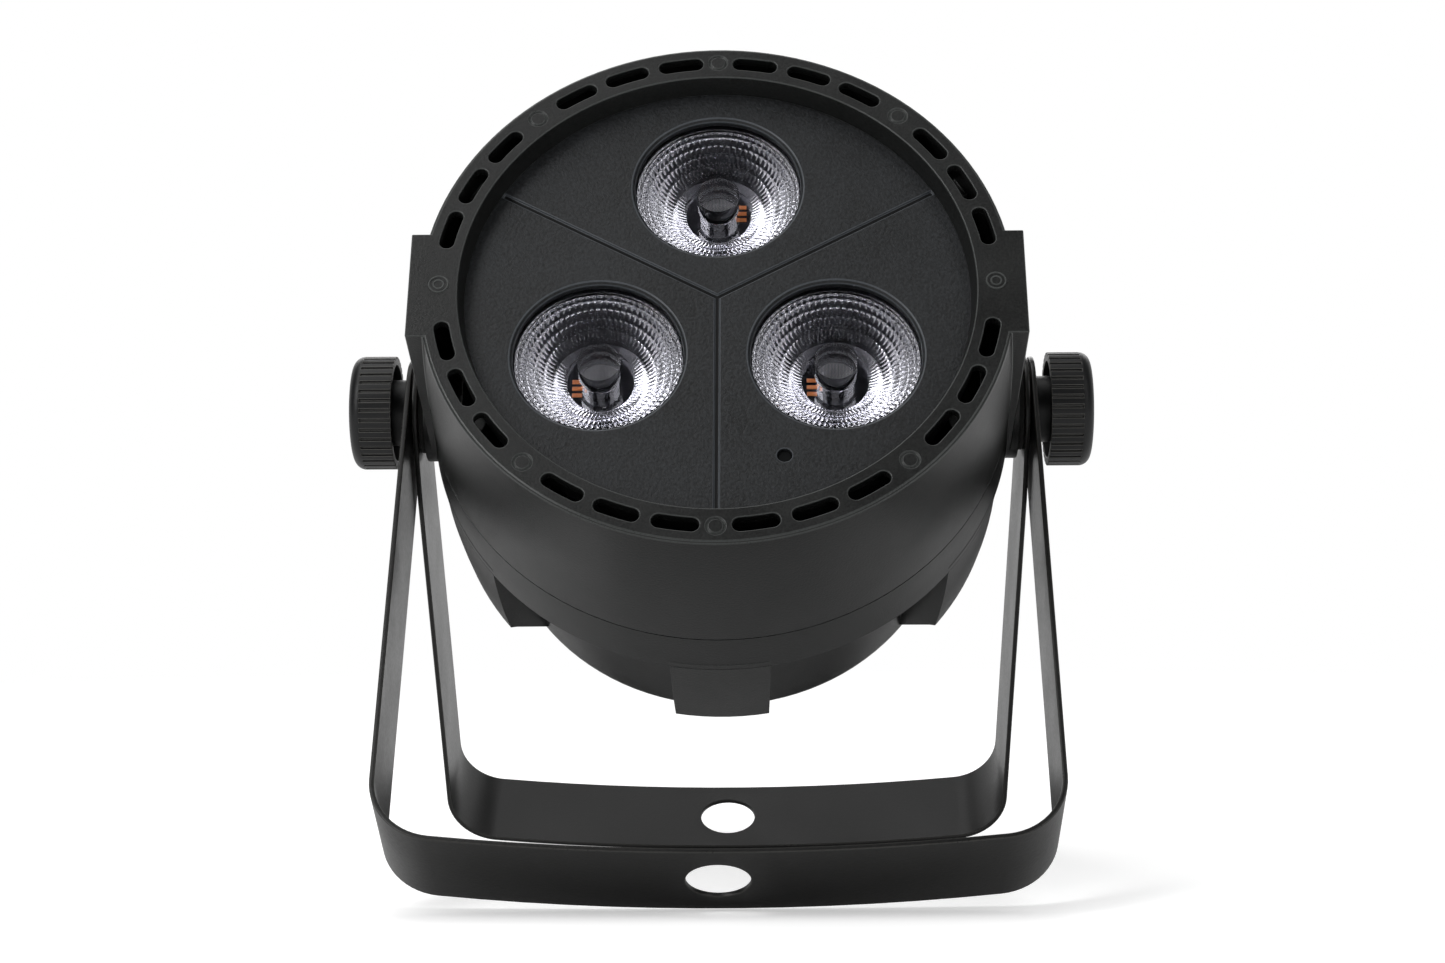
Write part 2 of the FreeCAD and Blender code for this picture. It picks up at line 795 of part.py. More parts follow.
def face_plate():
    """The black plate with the three lens openings, its grooves, lugs and posts."""
    body = new_body("face_plate")
    disc = face_sketch(body, size.recess_depth)
    circle(disc, 0.0, 0.0, recess_wall_radius - size.plate_clearance)
    pad_back(body, disc, size.plate_thickness)
    lugs = face_sketch(body, size.recess_depth)
    lug_outline(lugs, boss_circle_radius, size.boss_angle, size.boss_radius,
                recess_base_radius)
    lug = pad_back(body, lugs, size.plate_thickness)
    hole = face_sketch(body, size.recess_depth)
    circle(hole, boss_circle_radius * cos(size.boss_angle),
           boss_circle_radius * sin(size.boss_angle), size.screw_shank + size.press_gap)
    hole_cut = pocket(body, hole, size.plate_thickness)
    in_four_quarters(body, [lug, hole_cut])

    openings = face_sketch(body, size.recess_depth)
    circle(openings, 0.0, size.lens_circle_radius, size.plate_bore_radius)
    opening = pocket(body, openings, size.plate_thickness)
    ways = face_sketch(body, size.recess_depth)
    half = size.groove_width / 2
    rectangle(ways, -half, -recess_base_radius, half, 0.0)
    groove = pocket(body, ways, size.groove_depth)
    posts = face_sketch(body, plate_back)
    circle(posts, 0.0, -size.plate_post_circle, size.plate_post_radius)
    post = pad_back(body, posts, sink_front - plate_back)
    repeat(body, [opening, groove, post], "Y_Axis", 3)

    sensor = face_sketch(body, size.recess_depth)
    circle(sensor, size.sensor_x, size.sensor_z, size.sensor_hole_radius)
    last = pocket(body, sensor, size.plate_thickness)
    chamfer_rims(body, last, size.plate_bore_radius, size.recess_depth, size.plate_bore_chamfer)
    place_head(body)
    return body


def lens(label, angle):
    """A clear collimator: rim, recessed face, front bore, flank and LED cavity."""
    body = new_body(label)
    shoulder = lens_front + size.lens_flange_thickness
    face = lens_front + size.lens_face_recess
    cavity_top = lens_back - size.cavity_depth
    profile = new_sketch(body, "XY_Plane")
    outline(profile, [
        (0.0, cavity_top - size.lens_web),
        (size.lens_bore_radius, cavity_top - size.lens_web),
        (size.lens_bore_radius, face),
        (lens_face_radius, face),
        (lens_face_radius, lens_front),
        (lens_flange_radius, lens_front),
        (lens_flange_radius, shoulder),
        (lens_flange_radius - size.holder_wall - size.holder_gap, shoulder),
        (size.lens_base_radius, lens_back),
        (size.lens_cavity_radius, lens_back),
        (size.lens_cavity_radius, cavity_top),
        (0.0, cavity_top),
    ])
    revolve(body, profile)
    place_head(body, size.lens_circle_radius * cos(angle), size.lens_circle_radius * sin(angle))
    return body


def lens_holder(label, angle):
    """The black cup that holds a lens over its emitter."""
    body = new_body(label)
    front = lens_front + size.lens_flange_thickness + size.holder_gap
    back = board_depth
    neck = front + size.holder_wall + size.holder_gap
    profile = new_sketch(body, "XY_Plane")
    outline(profile, [
        (lens_flange_radius - size.holder_wall, front),
        (holder_radius, front),
        (holder_radius, neck),
        (holder_base_radius, back),
        (size.lens_base_radius + size.holder_floor_gap, back),
        (size.lens_base_radius + size.holder_floor_gap, back - size.holder_wall),
        (holder_base_radius - size.holder_wall, back - size.holder_wall),
        (holder_radius - size.holder_wall - size.holder_gap, neck),
    ])
    revolve(body, profile)
    place_head(body, size.lens_circle_radius * cos(angle), size.lens_circle_radius * sin(angle))
    return body


def led(label, angle):
    """The emitter: square package with a clear dome."""
    body = new_body(label)
    package = face_sketch(body, board_depth - size.led_height)
    half = size.led_size / 2
    rectangle(package, -half, -half, half, half)
    pad_back(body, package, size.led_height)
    dome = new_sketch(body, "XY_Plane")
    top = board_depth - size.led_height
    reach = size.led_dome_radius
    diagonal = reach * cos(45.0)
    outline(dome, [
        (0.0, top),
        (0.0, top - reach),
        (reach, top, diagonal, top - diagonal),
    ])
    revolve(body, dome)
    place_head(body, size.lens_circle_radius * cos(angle), size.lens_circle_radius * sin(angle))
    return body


def led_board():
    body = new_body("led_board")
    disc = face_sketch(body, board_depth)
    circle(disc, 0.0, 0.0, size.board_radius)
    pad_back(body, disc, size.board_thickness)
    holes = face_sketch(body, board_depth)
    circle(holes, 0.0, -size.plate_post_circle, size.plate_post_radius + size.plate_clearance)
    hole = pocket(body, holes, size.board_thickness)
    repeat(body, [hole], "Y_Axis", 3)
    plug = face_sketch(body, board_depth)
    half = size.plug_width / 2
    rise = size.plug_height / 2
    rectangle(plug, -half, -rise, half, rise)
    body.Tip = pad(body, plug, size.plug_depth)
    place_head(body)
    return body


def heat_sink():
    """An aluminium disc with straight fins, cut from one thick round."""
    body = new_body("heat_sink")
    disc = face_sketch(body, sink_front)
    circle(disc, 0.0, 0.0, size.sink_radius)
    pad_back(body, disc, size.sink_base + size.fin_height)
    holes = face_sketch(body, sink_front)
    circle(holes, 0.0, -size.plate_post_circle, size.screw_shank + size.press_gap)
    hole = pocket(body, holes, size.sink_base)
    wells = face_sketch(body, sink_back)
    circle(wells, 0.0, -size.plate_post_circle, size.screw_head + size.driver_room)
    well = pocket(body, wells, size.fin_height)
    repeat(body, [hole, well], "Y_Axis", 3)
    channel = face_sketch(body, sink_back)
    half = (size.fin_pitch - size.fin_thickness) / 2
    each_side = int(number(size.sink_radius) // number(size.fin_pitch))
    first = size.fin_pitch * each_side
    rectangle(channel, -first - half, -size.sink_radius, half - first, size.sink_radius)
    cut = pocket(body, channel, size.fin_height)
    row = body.newObject("PartDesign::LinearPattern", "fin_row")
    row.Originals = [cut]
    row.Direction = (origin_feature(body, "X_Axis"), [""])
    row.Occurrences = 2 * each_side + 1
    bind(row, "Length", first * 2)
    body.Tip = row
    place_head(body)
    return body


def ir_receiver():
    """The remote-control sensor behind its hole in the face plate."""
    half = size.sensor_body_width / 2
    rise = size.sensor_body_height / 2
    block = solid_box((size.sensor_x - half, plate_back, size.sensor_z - rise),
                      (size.sensor_x + half, plate_back + size.sensor_body_depth,
                       size.sensor_z + rise))
    nose = rod(size.sensor_x, size.sensor_z, size.recess_depth + size.sensor_inset, plate_back,
               size.sensor_hole_radius - size.sensor_gap)
    made = group("ir_receiver", [block.fuse(nose).removeSplitter()])
    place_head(made)
    return made


# ---------------------------------------------------------------- rear housing

def rear_housing():
    """Skirt, drum with a rounded back edge, and six legs with sloping ends down the drum."""
    body = new_body("rear_housing")
    corner_radius = drum_end_radius - size.rear_round
    corner_depth = size.rear_depth - size.rear_round
    inner_round = size.rear_round - size.drum_wall
    inner_end = drum_end_radius - size.drum_wall
    wall_depth = size.rear_depth - size.rear_wall
    inner_corner = wall_depth - inner_round
    lean = cos(45.0)
    start = size.seam_depth + size.seam_gap
    profile = new_sketch(body, "XY_Plane")
    outline(profile, [
        (tongue_inner, size.seam_depth - size.tongue_length),
        (tongue_outer, size.seam_depth - size.tongue_length),
        (tongue_outer, start),
        (seam_radius, start),
        (skirt_radius, skirt_depth),
        (drum_radius, skirt_depth),
        (drum_end_radius, corner_depth),
        (corner_radius, size.rear_depth,
         corner_radius + size.rear_round * lean, corner_depth + size.rear_round * lean),
        (size.panel_radius + size.panel_clearance, size.rear_depth),
        (size.panel_radius + size.panel_clearance, size.rear_depth - size.panel_thickness),
        (panel_seat_radius, size.rear_depth - size.panel_thickness),
        (panel_seat_radius, wall_depth),
        (inner_end - inner_round, wall_depth),
        (inner_end, inner_corner,
         inner_end - inner_round + inner_round * lean, inner_corner + inner_round * lean),
        (drum_radius - size.drum_wall, skirt_depth - size.skirt_step),
        (tongue_inner, skirt_depth - size.skirt_step),
    ])
    revolve(body, profile)

    foot = new_sketch(body, "YZ_Plane")
    leg_top = skirt_depth - size.skirt_step
    leg_middle = (skirt_depth + leg_depth) / 2
    belly = (skirt_radius + leg_radius) / 2 + size.leg_bulge
    outline(foot, [
        (leg_top, -leg_root_radius),
        (leg_top, -skirt_radius),
        (leg_depth - size.leg_round, -leg_radius, leg_middle, -belly),
        (leg_depth, -leg_radius + size.leg_round),
        (corner_depth, -leg_end_radius),
    ])
    leg = revolve(body, foot, "H_Axis", size.leg_angle)
    repeat(body, [leg], "Y_Axis", 6)

    across = screw_post_radius * cos(size.screw_post_angle)
    up = screw_post_radius * sin(size.screw_post_angle)
    wells = face_sketch(body, screw_seat_depth)
    circle(wells, across, up, size.screw_hole_radius)
    well = pocket(body, wells, corner_depth - screw_seat_depth)
    shanks = face_sketch(body, screw_post_end)
    circle(shanks, across, up, size.screw_shank + size.shank_clearance)
    shank = pocket(body, shanks, screw_seat_depth - screw_post_end + 1)
    in_four_quarters(body, [well, shank])

    notch = new_sketch(body, "YZ_Plane", ear_inner - size.ear_clearance)
    ear_profile(notch, size.ear_clearance)
    notch_cut = pocket(body, notch, skirt_radius, reverse=True)
    mirror(body, [notch_cut], "YZ_Plane")

    screw_holes = face_sketch(body, wall_depth)
    for x, z in diagonal_places(panel_screw_circle):
        circle(screw_holes, x, z, size.screw_shank + size.press_gap)
    body.Tip = pocket(body, screw_holes, size.rear_wall)
    place_head(body)
    return body


def diagonal_places(radius):
    lean = cos(45.0)
    return [(side * radius * lean, rise * radius * lean) for side in (1, -1) for rise in (1, -1)]


# ---------------------------------------------------------------- rear panel

button_places = [(index - 1.5) * size.button_pitch for index in range(4)]


def rear_panel():
    """The flat plate at the back, cut for display, buttons, sockets and inlet."""
    body = new_body("rear_panel")
    disc = face_sketch(body, panel_inner)
    circle(disc, 0.0, 0.0, size.panel_radius)
    pad_back(body, disc, size.panel_thickness)
    cuts = face_sketch(body, panel_inner)
    half = size.window_width / 2
    rise = size.window_height / 2
    rectangle(cuts, -half, size.window_z - rise, half, size.window_z + rise)
    for x in button_places:
        circle(cuts, x, size.button_z, size.button_radius + size.button_clearance)
    for side in (1, -1):
        circle(cuts, side * size.socket_x, size.socket_z,
               size.socket_radius + size.socket_clearance)
    wide = size.inlet_width / 2 + size.inlet_gap
    tall = size.inlet_height / 2 + size.inlet_gap
    rectangle(cuts, -wide, size.inlet_z - tall, wide, size.inlet_z + tall)
    for x, z in diagonal_places(panel_screw_circle):
        circle(cuts, x, z, size.screw_shank + size.press_gap)
    pocket(body, cuts, size.panel_thickness)
    place_head(body)
    return body


def display_window():
    """A clear window with a lip behind the panel."""
    body = new_body("display_window")
    pane = face_sketch(body, panel_inner)
    half = size.window_width / 2 - size.window_gap
    rise = size.window_height / 2 - size.window_gap
    rectangle(pane, -half, size.window_z - rise, half, size.window_z + rise)
    pad_back(body, pane, size.panel_thickness)
    lip = face_sketch(body, panel_inner)
    wide = half + size.window_lip
    tall = rise + size.window_lip
    rectangle(lip, -wide, size.window_z - tall, wide, size.window_z + tall)
    body.Tip = pad(body, lip, size.window_lip_thickness)
    place_head(body)
    return body


def display_module():
    """The four-digit display block on the control board."""
    body = new_body("display_module")
    block = face_sketch(body, control_back)
    half = size.window_width / 2 - size.display_side_margin
    rise = size.window_height / 2 - size.display_end_margin
    rectangle(block, -half, size.window_z - rise, half, size.window_z + rise)
    pad_back(body, block, panel_inner - control_back - size.display_margin)
    place_head(body)
    return body


def control_board():
    body = new_body("control_board")
    board = face_sketch(body, control_depth)
    half = size.control_width / 2
    rectangle(board, -half, size.control_bottom, half, size.control_top)
    pad_back(body, board, size.control_thickness)
    chips = face_sketch(body, control_depth)
    middle = (size.control_bottom + size.control_top) / 2
    for x, width in ((size.processor_x, size.processor_width), (size.driver_x, size.driver_width)):
        half = width / 2
        rectangle(chips, x - half, middle - half, x + half, middle + half)
    body.Tip = pad(body, chips, size.chip_thickness)
    place_head(body)
    return body


def tact_switches():
    half = size.switch_size / 2
    blocks = [solid_box((x - half, control_back, size.button_z - half),
                        (x + half, control_back + size.switch_height, size.button_z + half))
              for x in button_places]
    made = group("tact_switches", blocks)
    place_head(made)
    return made


def button(label, x):
    """A push button: cap through the panel, flange behind it, stem over its switch."""
    body = new_body(label)
    flange_end = panel_inner - size.button_play
    flange_start = flange_end - size.button_flange
    stem_start = control_back + size.switch_height + size.button_travel + size.stem_gap
    cap_end = size.rear_depth + size.button_proud
    edge = size.button_edge
    stem_radius = size.button_radius / 2
    profile = new_sketch(body, "XY_Plane")
    outline(profile, [
        (0.0, stem_start),
        (stem_radius, stem_start),
        (stem_radius, flange_start),
        (size.button_flange_radius, flange_start),
        (size.button_flange_radius, flange_end),
        (size.button_radius, flange_end),
        (size.button_radius, cap_end - edge),
        (size.button_radius - edge, cap_end),
        (0.0, cap_end),
    ])
    revolve(body, profile)
    place_head(body, x, size.button_z)
    return body


def panel_standoffs():
    across = size.control_width / 2 - size.standoff_inset
    levels = (size.control_bottom + size.standoff_inset, size.control_top - size.standoff_inset)
    rods = [rod(side * across, z, control_back, panel_inner, size.standoff_radius)
            for side in (1, -1) for z in levels]
    made = group("panel_standoffs", rods)
    place_head(made)
    return made


PIN_ANGLES = (30.0, 150.0, 270.0)


def socket_body(label):
    """The round shell of a three-pin socket, its flange outside the panel."""
    body = new_body(label)
    shell = face_sketch(body, size.rear_depth - size.socket_length)
    circle(shell, 0.0, 0.0, size.socket_radius)
    pad_back(body, shell, size.socket_length)
    flange = face_sketch(body, size.rear_depth)
    circle(flange, 0.0, 0.0, size.socket_radius + size.socket_flange_width)
    pad_back(body, flange, size.socket_flange)
    return body


def dmx_input_socket():
    """The male socket: an open cup with three pins."""
    body = socket_body("dmx_input_socket")
    cup = face_sketch(body, socket_face)
    circle(cup, 0.0, 0.0, size.cup_radius)
    pocket(body, cup, size.cup_depth, reverse=True)
    pins = face_sketch(body, socket_face - size.cup_depth)
    for angle in PIN_ANGLES:
        circle(pins, size.pin_circle * cos(angle), size.pin_circle * sin(angle), size.pin_radius)
    body.Tip = pad_back(body, pins, size.pin_length)
    place_head(body, size.socket_x, size.socket_z)
    return body


def dmx_output_socket():
    """The female socket: a full face with three contact holes and a latch slot."""
    body = socket_body("dmx_output_socket")
    ring_cut = face_sketch(body, socket_face)
    circle(ring_cut, 0.0, 0.0, size.plug_core_radius + size.plug_core_groove)
    circle(ring_cut, 0.0, 0.0, size.plug_core_radius)
    pocket(body, ring_cut, size.cup_depth, reverse=True)
    holes = face_sketch(body, socket_face)
    for angle in PIN_ANGLES:
        circle(holes, size.pin_circle * cos(angle), size.pin_circle * sin(angle),
               size.pin_radius + size.contact_clearance)
    body.Tip = pocket(body, holes, size.pin_length, reverse=True)
    place_head(body, -size.socket_x, size.socket_z)
    return body


def power_inlet():
    """The mains inlet: flanged shell, recess with cut corners, three blades."""
    body = new_body("power_inlet")
    half = size.inlet_width / 2
    tall = size.inlet_height / 2
    shell = face_sketch(body, size.rear_depth - size.inlet_length)
    rectangle(shell, -half, -tall, half, tall)
    pad_back(body, shell, size.inlet_length)
    flange = face_sketch(body, size.rear_depth)
    wide = half + size.inlet_flange
    high = tall + size.inlet_flange
    rectangle(flange, -wide, -high, wide, high)
    pad_back(body, flange, size.socket_flange)
    recess = face_sketch(body, socket_face)
    across = half - size.inlet_wall
    rise = tall - size.inlet_wall
    cut = size.inlet_corner
    outline(recess, [
        (-across, -rise), (across, -rise), (across, rise - cut), (across - cut, rise),
        (cut - across, rise), (-across, rise - cut),
    ])
    pocket(body, recess, size.inlet_recess_depth, reverse=True)
    blades = face_sketch(body, socket_face - size.inlet_recess_depth)
    thick = size.inlet_pin_thickness / 2
    deep = size.inlet_pin_width / 2
    for step, side in ((-1, -1), (0, 1), (1, -1)):
        x = step * size.inlet_pin_pitch
        z = side * size.inlet_blade_offset
        rectangle(blades, x - thick, z - deep, x + thick, z + deep)
    body.Tip = pad_back(body, blades, size.inlet_pin_length)
    place_head(body, 0.0, size.inlet_z)
    return body


# ---------------------------------------------------------------- power supply

def power_board():
    body = new_body("power_board")
    board = face_sketch(body, power_depth)
    half = size.power_width / 2
    rise = size.power_height / 2
    rectangle(board, -half, -rise, half, rise)
    pad_back(body, board, size.power_thickness)
    place_head(body)
    return body


def power_posts():
    across = size.power_width / 2 - size.power_post_inset
    up = size.power_height / 2 - size.power_post_inset
    rods = [rod(side * across, rise * up, sink_back, power_depth, size.power_post_radius)
            for side in (1, -1) for rise in (1, -1)]
    made = group("power_posts", rods)
    place_head(made)
    return made


def standing_block(width, height, depth):
    """A block on the back of the power board, centred over the transformer's place."""
    return solid_box((-width / 2, power_back, size.core_z - height / 2),
                     (width / 2, power_back + depth, size.core_z + height / 2))


def transformer():
    """A wound transformer: core block with a wider coil round its middle."""
    core = standing_block(size.core_width, size.core_height, size.core_depth)
    coil = standing_block(size.coil_width, size.coil_height, size.coil_depth)
    made = group("transformer", [core.fuse(coil).removeSplitter()])
    place_head(made)
    return made


def capacitors():
    half = size.can_pitch / 2
    cans = [rod(size.can_x + side * half, size.can_z, power_back, power_back + size.can_length,
                size.can_radius) for side in (-1, 1)]
    made = group("capacitors", cans)
    place_head(made)
    return made


# ---------------------------------------------------------------- fasteners

def plate_screws():
    """Screws that hold the face plate to the bosses behind the ring."""
    screws = [cap_screw(x, z, plate_back, size.recess_depth, size.screw_head - size.small_head)
              for x, z in quarter_points(boss_circle_radius, size.boss_angle)]
    made = group("plate_screws", screws)
    place_head(made)
    return made


def sink_screws():
    screws = []
    for angle in (30, 150, 270):
        x = number(size.plate_post_circle) * math.cos(math.radians(angle))
        z = number(size.plate_post_circle) * math.sin(math.radians(angle))
        screws.append(cap_screw(x, z, sink_back, sink_front))
    made = group("sink_screws", screws)
    place_head(made)
    return made


def housing_screws():
    """Long screws down the legs that hold the two housings together."""
    screws = [cap_screw(x, z, screw_seat_depth, screw_post_end - size.screw_engagement)
              for x, z in quarter_points(screw_post_radius, size.screw_post_angle)]
    made = group("housing_screws", screws)
    place_head(made)
    return made


def panel_screws():
    screws = [cap_screw(x, z, size.rear_depth, size.rear_depth - size.rear_wall)
              for x, z in quarter_points(panel_screw_circle, 45)]
    made = group("panel_screws", screws)
    place_head(made)
    return made


# ---------------------------------------------------------------- pivots and knobs

def round_about_x(label, profile_steps, left):
    body = new_body(label)
    profile = new_sketch(body, "XY_Plane")
    outline(profile, profile_steps)
    revolve(body, profile, "H_Axis")
    place_pivot(body, left=left)
    return body


def ring_steps(start, length, inner, outer):
    return [(start, inner), (start + length, inner), (start + length, outer), (start, outer)]


def pivot_insert(label, left):
    start = pivot_face - size.insert_length
    steps = ring_steps(start, size.insert_length, size.insert_bore,
                       size.insert_radius - size.press_gap)
    return round_about_x(label, steps, left)


def friction_washer(label, left):
    steps = ring_steps(washer_start, size.friction_thickness, washer_bore, size.washer_radius)
    return round_about_x(label, steps, left)


def spacer_washer(label, left):
    steps = ring_steps(spacer_start, size.spacer_thickness, washer_bore, size.spacer_radius)
    return round_about_x(label, steps, left)


def knob(label, left):
    """A hollow ribbed thumb knob with a hub that bears on the front strap."""
    body = new_body(label)
    inner = size.knob_radius - size.knob_wall
    bore = bolt_radius + size.press_gap
    top = knob_end - size.knob_top
    edge = size.knob_edge
    lean = 1 - cos(45.0)
    profile = new_sketch(body, "XY_Plane")
    outline(profile, [
        (knob_start, bore),
        (knob_start, size.hub_radius),
        (top, size.hub_radius),
        (top, inner),
        (knob_rim, inner),
        (knob_rim, size.knob_radius),
        (knob_end - edge, size.knob_radius),
        (knob_end, size.knob_radius - edge,
         knob_end - edge * lean, size.knob_radius - edge * lean),
        (knob_end, 0.0),
        (hex_start + size.hex_height, 0.0),
        (hex_start + size.hex_height, bore),
    ])
    revolve(body, profile, "H_Axis")
    seat = new_sketch(body, "YZ_Plane", hex_start)
    hexagon(seat, size.hex_flats / 2 + size.press_gap)
    pocket(body, seat, size.hex_height, reverse=True)
    valley = new_sketch(body, "YZ_Plane", knob_rim)
    mouth = size.knob_radius * sin(size.valley_angle)
    floor = mouth * size.valley_taper
    bottom = size.knob_radius - size.rib_depth
    above = size.knob_radius + size.rib_depth
    outline(valley, [(-mouth, above), (-floor, bottom), (floor, bottom), (mouth, above)])
    cut = pocket(body, valley, knob_end - edge - knob_rim, reverse=True)
    repeat(body, [cut], "X_Axis", size.rib_count)
    place_pivot(body, left=left)
    return body


def hexagon(sketch, flat_radius):
    corner = flat_radius / cos(30.0)
    outline(sketch, [(corner * cos(60.0 * turn), corner * sin(60.0 * turn)) for turn in range(6)])


def knob_bolt(label, left):
    """The bolt moulded into a knob: threaded shank and hexagon head."""
    body = new_body(label)
    shank = new_sketch(body, "YZ_Plane", bolt_start)
    circle(shank, 0.0, 0.0, bolt_radius)
    pad(body, shank, hex_start - bolt_start)
    head = new_sketch(body, "YZ_Plane", hex_start)
    hexagon(head, size.hex_flats / 2)
    pad(body, head, size.hex_height - size.press_gap)
    place_pivot(body, left=left)
    return body


# ---------------------------------------------------------------- brackets

def bracket(label, reach, outer, corner, taper, swing):
    """A flat strap bent to a U, its base bowed and bored, its ends rounded on the pivot."""
    body = new_body(label)
    thick = size.strap_thickness.value
    half = half_strap.value
    side = number(outer)
    narrow = side - number(taper)
    corner_x = narrow - number(corner)
    bow_radius = number(size.bow_radius)
    bow_centre = bow_radius - number(reach)
    corner_z = bow_centre - math.sqrt((bow_radius - number(corner)) ** 2 - corner_x ** 2)
    sweep = math.asin(corner_x / (bow_radius - number(corner)))
    bend = -number(size.taper_start)

    def on_corner(radius, angle):
        return corner_x + radius * math.cos(angle), corner_z + radius * math.sin(angle)

    def on_bow(radius, angle):
        return radius * math.sin(angle), bow_centre - radius * math.cos(angle)

    def half_points(inset):
        """Corner points from the pivot end down to the bow, for one face of the strap."""
        radius = number(corner) - inset
        turn = math.pi / 2 - sweep
        return [(side - inset, half), (side - inset, bend), (narrow - inset, corner_z),
                on_corner(radius, -turn) + on_corner(radius, -turn / 2)]

    def mirrored(step):
        return tuple(-value if place % 2 == 0 else value for place, value in enumerate(step))

    out = half_points(0.0)
    inn = half_points(thick)
    steps = list(out)
    steps.append(mirrored(out[3][:2]) + on_bow(bow_radius, 0.0))
    steps.append(mirrored(out[2]) + mirrored(out[3][2:]))
    steps += [mirrored(out[1]), mirrored(out[0])]
    steps += [mirrored(inn[0]), mirrored(inn[1]), mirrored(inn[2]), mirrored(inn[3])]
    steps.append(inn[3][:2] + on_bow(bow_radius - thick, 0.0))
    steps.append(inn[2] + inn[3][2:])
    steps += [inn[1], inn[0]]
    strap = new_sketch(body, "XZ_Plane")
    outline(strap, steps, tied=False)
    pad(body, strap, size.strap_width, both=True)

    through = outer * 2 + size.strap_width
    ends = new_sketch(body, "YZ_Plane")
    beyond = half_strap + size.strap_thickness
    outline(ends, [
        (beyond, 0.0), (beyond, beyond), (-beyond, beyond), (-beyond, 0.0),
        (-half_strap, 0.0), (half_strap, 0.0, 0.0, half_strap),
    ])
    pocket(body, ends, through, both=True)
    pivots = new_sketch(body, "YZ_Plane")
    circle(pivots, 0.0, 0.0, strap_bore)
    pocket(body, pivots, through, both=True)
    hole = new_sketch(body, "XY_Plane", corner - reach)
    circle(hole, 0.0, 0.0, size.strap_hole_radius)
    pocket(body, hole, corner * 2)
    place_pivot(body, swing=swing)
    return body


# ---------------------------------------------------------------- the whole light

LENSES = {"top": 90.0, "left": 210.0, "right": 330.0}

parts = [front_housing(), face_plate(), led_board(), heat_sink(), ir_receiver()]
for name, angle in LENSES.items():
    parts += [lens("lens_" + name, angle), lens_holder("lens_holder_" + name, angle),
              led("led_" + name, angle)]
parts += [rear_housing(), rear_panel(), display_window(), display_module(), control_board(),
          tact_switches(), panel_standoffs(), dmx_input_socket(), dmx_output_socket(),
          power_inlet(), power_board(), power_posts(), transformer(), capacitors(),
          plate_screws(), sink_screws(), housing_screws(), panel_screws()]
for index, x in enumerate(button_places, 1):
    parts.append(button(f"button_{index}", x))
for name, left in (("left", True), ("right", False)):
    parts += [pivot_insert("pivot_insert_" + name, left),
              friction_washer("friction_washer_" + name, left),
              spacer_washer("spacer_washer_" + name, left),
              knob("knob_" + name, left), knob_bolt("knob_bolt_" + name, left)]
parts.append(bracket("front_bracket", size.front_reach, front_strap_outer, size.front_corner,
                     0.0, -size.front_bracket_angle))
parts.append(bracket("rear_bracket", size.rear_reach, rear_strap_outer, size.rear_corner,
                     size.rear_taper, rear_bracket_angle))
doc.recompute()

for item in doc.Objects:
    if {"Invalid", "Error"} & set(item.State):
        raise RuntimeError(f"{item.Label} failed: {item.State} {item.getStatusString()}")
for item in parts:
    if item.Shape.isNull() or not item.Shape.isValid() or not item.Shape.Solids:
        raise RuntimeError(f"{item.Label} has no sound shape")

os.makedirs("parts", exist_ok=True)
for item in parts:
    item.Shape.exportStep(f"parts/{item.Label}.step")
    print(f"{item.Label:22s} solids {len(item.Shape.Solids)}  volume {item.Shape.Volume:10.1f}")
whole = Part.makeCompound([item.Shape for item in parts]).BoundBox
print("whole:", whole)
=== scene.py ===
"""Looks of the par can light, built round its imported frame. Metres, in the frame's own axes."""

import json
import math

import bpy
from mathutils import Matrix, Vector

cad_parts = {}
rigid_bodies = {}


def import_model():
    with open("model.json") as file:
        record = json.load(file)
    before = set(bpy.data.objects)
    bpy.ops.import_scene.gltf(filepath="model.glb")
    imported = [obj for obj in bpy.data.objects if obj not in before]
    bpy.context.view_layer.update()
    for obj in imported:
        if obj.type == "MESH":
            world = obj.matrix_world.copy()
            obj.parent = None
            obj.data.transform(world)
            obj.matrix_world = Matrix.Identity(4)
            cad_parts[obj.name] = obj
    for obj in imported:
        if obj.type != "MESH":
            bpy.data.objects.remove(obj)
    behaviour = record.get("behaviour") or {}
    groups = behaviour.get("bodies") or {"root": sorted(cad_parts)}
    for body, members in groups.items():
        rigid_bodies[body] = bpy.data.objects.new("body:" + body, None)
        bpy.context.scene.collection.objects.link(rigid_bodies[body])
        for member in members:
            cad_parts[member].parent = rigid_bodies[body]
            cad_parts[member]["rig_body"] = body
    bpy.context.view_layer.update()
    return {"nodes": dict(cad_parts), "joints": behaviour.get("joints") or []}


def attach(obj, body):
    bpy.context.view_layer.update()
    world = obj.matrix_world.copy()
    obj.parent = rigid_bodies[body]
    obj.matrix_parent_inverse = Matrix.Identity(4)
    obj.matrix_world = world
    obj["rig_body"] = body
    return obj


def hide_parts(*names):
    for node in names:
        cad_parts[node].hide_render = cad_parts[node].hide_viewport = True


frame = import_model()
nodes = frame["nodes"]

MM = 0.001

# ---------------------------------------------------------------- places in the head

joints = {joint["name"]: joint for joint in frame["joints"]}
pivot = Vector(joints["front_bracket_swing"]["pos_m"])
forward = Vector(joints["button_1_press"]["axis"]).normalized()
sideways = Vector((1.0, 0.0, 0.0))
upward = forward.cross(sideways).normalized()
PIVOT_DEPTH = 65.5 * MM
PIVOT_RISE = 2.5 * MM


def in_head(x, depth, height):
    """The place x to the side, depth behind the front ring and height above the optical axis."""
    return pivot + sideways * x + upward * (height - PIVOT_RISE) - forward * (depth - PIVOT_DEPTH)


# A piece is lathed round Z and then stood in the head, with Z pointing out of the front.
head_turn = Matrix((sideways, upward, forward)).transposed().to_4x4()


